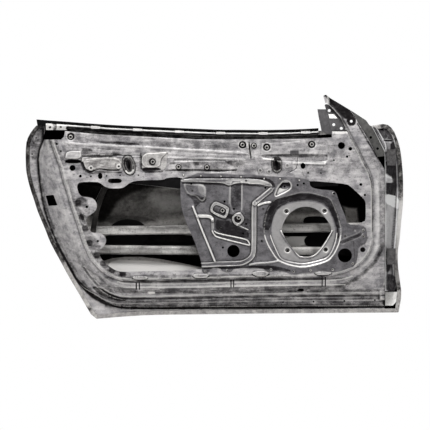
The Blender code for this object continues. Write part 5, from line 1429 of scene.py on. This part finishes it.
def rail_face(points):
    """World y of the rail: a pale fold above, and a skirt that leans back into the slot."""
    drop = below_strip(points)
    lean_back = SKIRT_BACK * ease((drop - 0.0052) / 0.008) * (points[:, 0] > SKIRT_START)
    tabs = sum(ease((0.0175 - np.abs(points[:, 0] - tab[0])) / 0.002) for tab in plane(TABS)) * (drop < 0.012)
    gap = in_gap(points, 0.0065) * (drop > 0)
    fold = FOLD_SLOPE * np.clip(drop, 0, 0.006)
    return skin_face(points) - RAIL_RISE - fold + lean_back - 0.002 * tabs + 0.003 * gap


def rail_marks(points):
    """The skirt is painted dark as the shade in the window slot, and the gap by the end bracket as its shade; the
    fold stays pale.
    """
    slot = ease((below_strip(points) - 0.0030) / 0.0014) * (points[:, 0] > SKIRT_START)
    gap = 0.45 * in_gap(points, 0.0075) * (below_strip(points) > 0.002)
    return np.maximum(slot * 0.6, gap), np.zeros(len(points))


RAIL_DROPS = (0.002, 0.0035, 0.0045, 0.0055, 0.0065, 0.008, 0.010)
rail_rows = [spaced(rail_top, 0.004, False) - (0, drop) for drop in RAIL_DROPS]
rail_mesh = pressed("belt_rail", rail_outline, rail_face, RAIL_SHEET, 0.006,
                    [circle(91, 710, 4.3, 14), circle(131, 711, 4.0, 14)], rail_rows, rail_marks)
add_object("belt_rail_pale", rail_mesh, pale_rail, ["belt_rail_outer"])
# Plain spring steel: a shade darker than the rail, so that each tab reads as a grey step in the pale line
tab_steel = mottled_steel("spring_tab_steel", "#A9A6A3", "#C6C3C0", 0.0, 0.4, 6, 1.0, bright="#FFFFFF",
                          cavity_mm=3, cavity_low=0.8)


def tab_face(points, grooves):
    """World y of a tab, which lies on the rail and follows its fold."""
    drop = np.clip(below_strip(points), -0.005, 0.006)
    return skin_face(points) - TAB_RISE - FOLD_SLOPE * drop - form_heights(points, grooves)


for i, (x_mm, z_mm) in enumerate(TABS, 1):
    high, low = z_mm + TAB_UP, z_mm - TAB_DOWN
    loop = spaced(plane(oblong(x_mm - TAB_HALF, high, x_mm + TAB_HALF, low)), 0.003)
    grooves = [("bead", [(x_mm + off, high), (x_mm + off, low)], 0.4, 1.6, -0.6) for off in (-13, -9, 9, 13)]
    tab_mesh = pressed(f"belt_tab_{i}", loop, lambda p, g=grooves: tab_face(p, g), TAB_SHEET, 0.003,
                       rows=form_rows(grooves))
    add_object(f"belt_tab_{i}", tab_mesh, tab_steel)

# Front wall on the hinge side: a drawn channel from the panel's rim to the skin, its upper half painted dark as
# shade.
# Bands of painted light and painted shade run across it.

WALL_SHEET = 0.0016
wall_inner = plane([(1281, 713), (1306, 665), (1327, 622)]) + (RIM_GAP, 0)
wall_inner = np.vstack([wall_inner, plane([(1331, 552), (1331, 330), (1331, 130), (1331, 104)])])
wall_foot = plane([
    (1323, 699), (1350, 681), (1364, 656), (1372, 626), (1378, 570), (1379, 515), (1375, 448),
    (1369, 389), (1362, 315), (1358, 248), (1358, 196), (1364, 144), (1368, 104),
])
wall_edge = plane(HINGE_EDGE)
wall_edge = wall_edge + normals(wall_edge) * WALL_INSET
wall_outline = merged(spaced(np.vstack([wall_inner, wall_foot[-1:], wall_edge[1:], wall_foot[:1]]), 0.005), 0.001)


def wall_form(points):
    """World y of the wall: from the rim's depth to the flange's."""
    to_inner = distance(points, wall_inner, False)
    to_foot = distance(points, wall_foot, False)
    beyond = points[:, 0] > np.interp(points[:, 1], wall_foot[::-1, 1], wall_foot[::-1, 0])
    share = np.where(beyond, 1, to_inner / np.maximum(to_inner + to_foot, 1e-6))
    rim_y = RIM_DEPTH + lean(points)
    return TRIM_FACE + rim_y + (flange_depth(points) - rim_y) * share - form_heights(points, WALL_FORMS)


WALL_FORMS = [
    ("bead", [(1281, 715), (1306, 667), (1330, 621)], 1.0, 3, 3),
    ("bead", [(1294, 716), (1317, 678), (1334, 648), (1336, 619)], 1.0, 3, 3),
    ("bead", [(1335, 711), (1354, 689), (1366, 663), (1372, 626), (1377, 552), (1378, 478), (1377, 404),
              (1372, 311), (1367, 256), (1361, 211), (1363, 144)], 1.2, 3, 3),
    ("bead", [(1328, 661), (1356, 660)], 1.5, 3, -3),
    ("area", [(1334, 537), (1346, 528), (1356, 525), (1361, 505), (1334, 505)], 0, 2, 0.8),
    ("bead", [(1335, 585), (1335, 616), (1354, 619)], 1, 3, 1.5),
]
# Painted shade on the wall: its upper half, its creases and round the hinge seats
WALL_PAINTED_SHADE = [
    ([(1269, 737), (1372, 737), (1387, 663), (1328, 662), (1298, 693)], 6, 0.6),
    ([(1287, 715), (1328, 637), (1335, 611), (1328, 611), (1283, 700)], 2, 0.8),
    ([(1328, 664), (1356, 663), (1356, 657), (1328, 658)], 1.5, 0.95),
    ([(1354, 656), (1371, 656), (1376, 622), (1376, 455), (1357, 458), (1328, 465), (1328, 499), (1363, 502),
      (1359, 526), (1346, 533), (1331, 543), (1328, 621), (1350, 622)], 3, 0.82),
    ([(1381, 656), (1393, 589), (1394, 452), (1382, 453)], 3, 0.6),
    (oblong(1331, 504, 1363, 498), 1.5, 0.95),
    ([(1335, 226), (1356, 230), (1354, 182), (1335, 170)], 7, 0.93),
    ([(1366, 222), (1374, 222), (1374, 167), (1367, 167)], 5, 0.9),
    ([(1331, 170), (1365, 163), (1394, 130), (1394, 100), (1330, 100)], 5, 0.72),
    ([(1328, 256), (1361, 245), (1361, 226), (1331, 226)], 5, 0.4),
]
# Painted light: a bright band across the wall's middle and along its foot
WALL_PAINTED_LIGHT = [
    ([(1329, 465), (1385, 453), (1387, 406), (1365, 413), (1331, 430)], 3, 1.2),
    ([(1380, 441), (1394, 441), (1389, 226), (1374, 226)], 3, 0.6),
    ([(1331, 426), (1376, 411), (1372, 233), (1331, 256)], 6, 0.36),
    (ribbon([(1374, 667), (1380, 626), (1383, 552), (1383, 456)], 1.2), 2, 0.5),
    ([(1333, 539), (1346, 530), (1356, 526), (1359, 516), (1343, 521), (1333, 525)], 2, 0.7),
    ([(1333, 530), (1357, 519), (1361, 505), (1333, 505)], 2, 0.3),
]
# Bare steel: grey, in bands of changing lightness painted as light and shade, with edges painted dark as shade
wall_steel = mottled_steel("banded_wall_steel", "#949294", "#B8B6B8", 0.2, 0.5, 25, 0.3, bright="#FFFFFF",
                           dirt_and_shade="#2E2C2E", cavity_mm=10, cavity_low=0.7)
wall_mesh = pressed("hinge_wall", wall_outline, wall_form, WALL_SHEET, 0.005,
                    rows=form_rows(WALL_FORMS) + area_rows(WALL_PAINTED_SHADE + WALL_PAINTED_LIGHT),
                    marks=marks_of(WALL_PAINTED_SHADE, WALL_PAINTED_LIGHT))
add_object("hinge_wall_pressing", wall_mesh, wall_steel, ["hinge_wall"])

# Guide rails, brackets, mirror pad, sill filler and hinge seats: small pressed, rolled or machined parts,
# bolted or welded to the door. Their solids are already right, so they take a worked finish each.

# Black primer on pressed steel: dark, even and slightly shiny
dark_steel = mottled_steel("dark_primed_steel", "#2E2C2E", "#4A484A", 0.1, 0.5, 30, 0.4, dirt_and_shade="#121112")
# Olive primer: dark with a warm cast that tells it from the black primer beside it
olive_steel = mottled_steel("olive_primed_steel", "#3A3938", "#4E4D4B", 0.1, 0.5, 12, 1.0, dirt_and_shade="#161612")
# Pale primer: nearly white, the lightest thing on the door
pale_primer = mottled_steel("pale_primer_plate", "#E9E7E4", "#FBFAF8", 0.0, 0.5, 12, 1.0, bright="#FFFFFF",
                            dirt_and_shade="#8A8784", cavity_mm=8)
# Phosphated steel: dark grey with a fine dull mottling
phosphate = mottled_steel("phosphated_hinge_seat", "#3A3839", "#5C5A5A", 0.3, 0.5, 10, 1.0)
# Near black on the inner belt rail, painted as the shade deep in the door: almost no light comes back from it, so
# the window slot looks empty
shade_black_steel = mottled_steel("rail_steel_painted_shade_black", "#0A090A", "#171617", 0.0, 0.7, 30, 4.0, dirt_and_shade="#050505",
                            sheen=0.08)
# Dark rolled guide: streaked along its length, with shade in its channel
deep_steel = mottled_steel("dark_guide_steel", "#262423", "#3D3A38", 0.2, 0.6, 40, 6.0, cavity_mm=40,
                           cavity_low=0.3, sheen=0.2)
# Bare steel deep inside the door: a mid grey that only shows through the small openings
shadow_steel = mottled_steel("bare_inner_steel", "#5C5957", "#7C7976", 0.3, 0.5, 60, 8.0, cavity_mm=50,
                             cavity_low=0.3)
FINISHES = {
    "belt_rail_inner": shade_black_steel, "latch_reinforcement": shadow_steel, "rear_guide_rail": deep_steel,
    "waist_bracket": dark_steel, "sash_flange": olive_steel, "mirror_bracket": dark_steel,
    "window_guide_post": dark_steel, "mirror_pad": pale_primer, "sill_filler": pale_primer,
    "hinge_seat_upper": phosphate, "hinge_seat_lower": phosphate,
}
for node, finish in FINISHES.items():
    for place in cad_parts[node].material_slots:
        place.link = "OBJECT"
        place.material = finish

# Studio: a plain pale floor in white surroundings, soft light from above and in front.
# The camera stands straight in front of the cabin side, far back, as the photograph does.

FLOOR_HALF, FLOOR_GAP = 9, 0.004
floor_z = cad_box[0][2] - FLOOR_GAP
floor_mesh = bpy.data.meshes.new("floor")
floor_mesh.from_pydata([(x, z, floor_z) for x, z in oblong(-FLOOR_HALF, -FLOOR_HALF, FLOOR_HALF, FLOOR_HALF)], [],
                       [(0, 1, 2, 3)])
floor = bpy.data.objects.new("studio_floor", floor_mesh)
bpy.context.collection.objects.link(floor)
# White paper: it takes the door's soft shadow from the lamps, and the camera sees it plain white
pale, pale_tree, pale_shader = blank_material("pale_paper_floor")
pale_shader.inputs["Base Color"].default_value = linear("#F2F1EF")
pale_shader.inputs["Roughness"].default_value = 0.9
ray = add(pale_tree, "ShaderNodeLightPath")
seen = reckoned(pale_tree, "MAXIMUM", ray.outputs["Is Camera Ray"], ray.outputs["Is Glossy Ray"])
bright = add(pale_tree, "ShaderNodeEmission", {}, {"Color": (1, 1, 1, 1), "Strength": 1.0})
blend = add(pale_tree, "ShaderNodeMixShader", {}, {0: seen, 1: pale_shader.outputs[0], 2: bright.outputs[0]})
output = next(n for n in pale_tree.nodes if n.type == "OUTPUT_MATERIAL")
pale_tree.links.new(blend.outputs[0], output.inputs["Surface"])
floor_mesh.materials.append(pale)

world = bpy.data.worlds.new("soft_studio")
bpy.context.scene.world = world
world.use_nodes = True
world_tree = world.node_tree
dim = world_tree.nodes["Background"]
dim.inputs["Color"].default_value = (1, 1, 1, 1)
dim.inputs["Strength"].default_value = 0.18
white = add(world_tree, "ShaderNodeBackground", {}, {"Color": (1, 1, 1, 1), "Strength": 1.0})
to_camera = add(world_tree, "ShaderNodeLightPath").outputs["Is Camera Ray"]
shown = add(world_tree, "ShaderNodeMixShader", {}, {0: to_camera, 1: dim.outputs[0], 2: white.outputs[0]})
surround = next(n for n in world_tree.nodes if n.type == "OUTPUT_WORLD")
world_tree.links.new(shown.outputs[0], surround.inputs["Surface"])
# Each lamp: where it stands, what it is aimed at, its width and height, and its power
LAMPS = [
    ("softbox_top", (-0.9, -1.6, 2.3), (-0.67, 0, 0.15), (1.4, 0.5), 76),
    ("softbox_left", (-3.0, -2.4, 1.0), (-0.67, 0, 0.15), (1.2, 1.6), 16),
    ("softbox_right", (2.2, -2.2, 1.2), (-0.4, 0, 0.15), (1.0, 1.4), 12),
]
for lamp_name, spot_at, aim, size, power in LAMPS:
    lamp = bpy.data.lights.new(lamp_name, "AREA")
    lamp.shape = "RECTANGLE"
    lamp.size, lamp.size_y = size
    lamp.energy = power
    holder = bpy.data.objects.new(lamp_name, lamp)
    bpy.context.collection.objects.link(holder)
    holder.location = spot_at
    holder.rotation_euler = (Vector(aim) - Vector(spot_at)).to_track_quat("-Z", "Y").to_euler()

CAMERA_BACK = 30.0
SENSOR_MM = 36
# The photograph's middle and width, at the depth where the door's edge lies
PHOTO_MIDDLE, PHOTO_WIDTH, EDGE_DEPTH = (-0.6690, 0.1534), 1.5926, 0.06
camera_data = bpy.data.cameras.new("camera")
camera = bpy.data.objects.new("camera", camera_data)
bpy.context.collection.objects.link(camera)
camera.location = (PHOTO_MIDDLE[0], TRIM_FACE - CAMERA_BACK, PHOTO_MIDDLE[1])
camera.rotation_euler = (math.radians(90), 0, 0)
camera_data.lens = SENSOR_MM * (CAMERA_BACK + EDGE_DEPTH) / PHOTO_WIDTH
camera_data.clip_end = 60
bpy.context.scene.camera = camera
bpy.context.scene.view_settings.view_transform = "Standard"
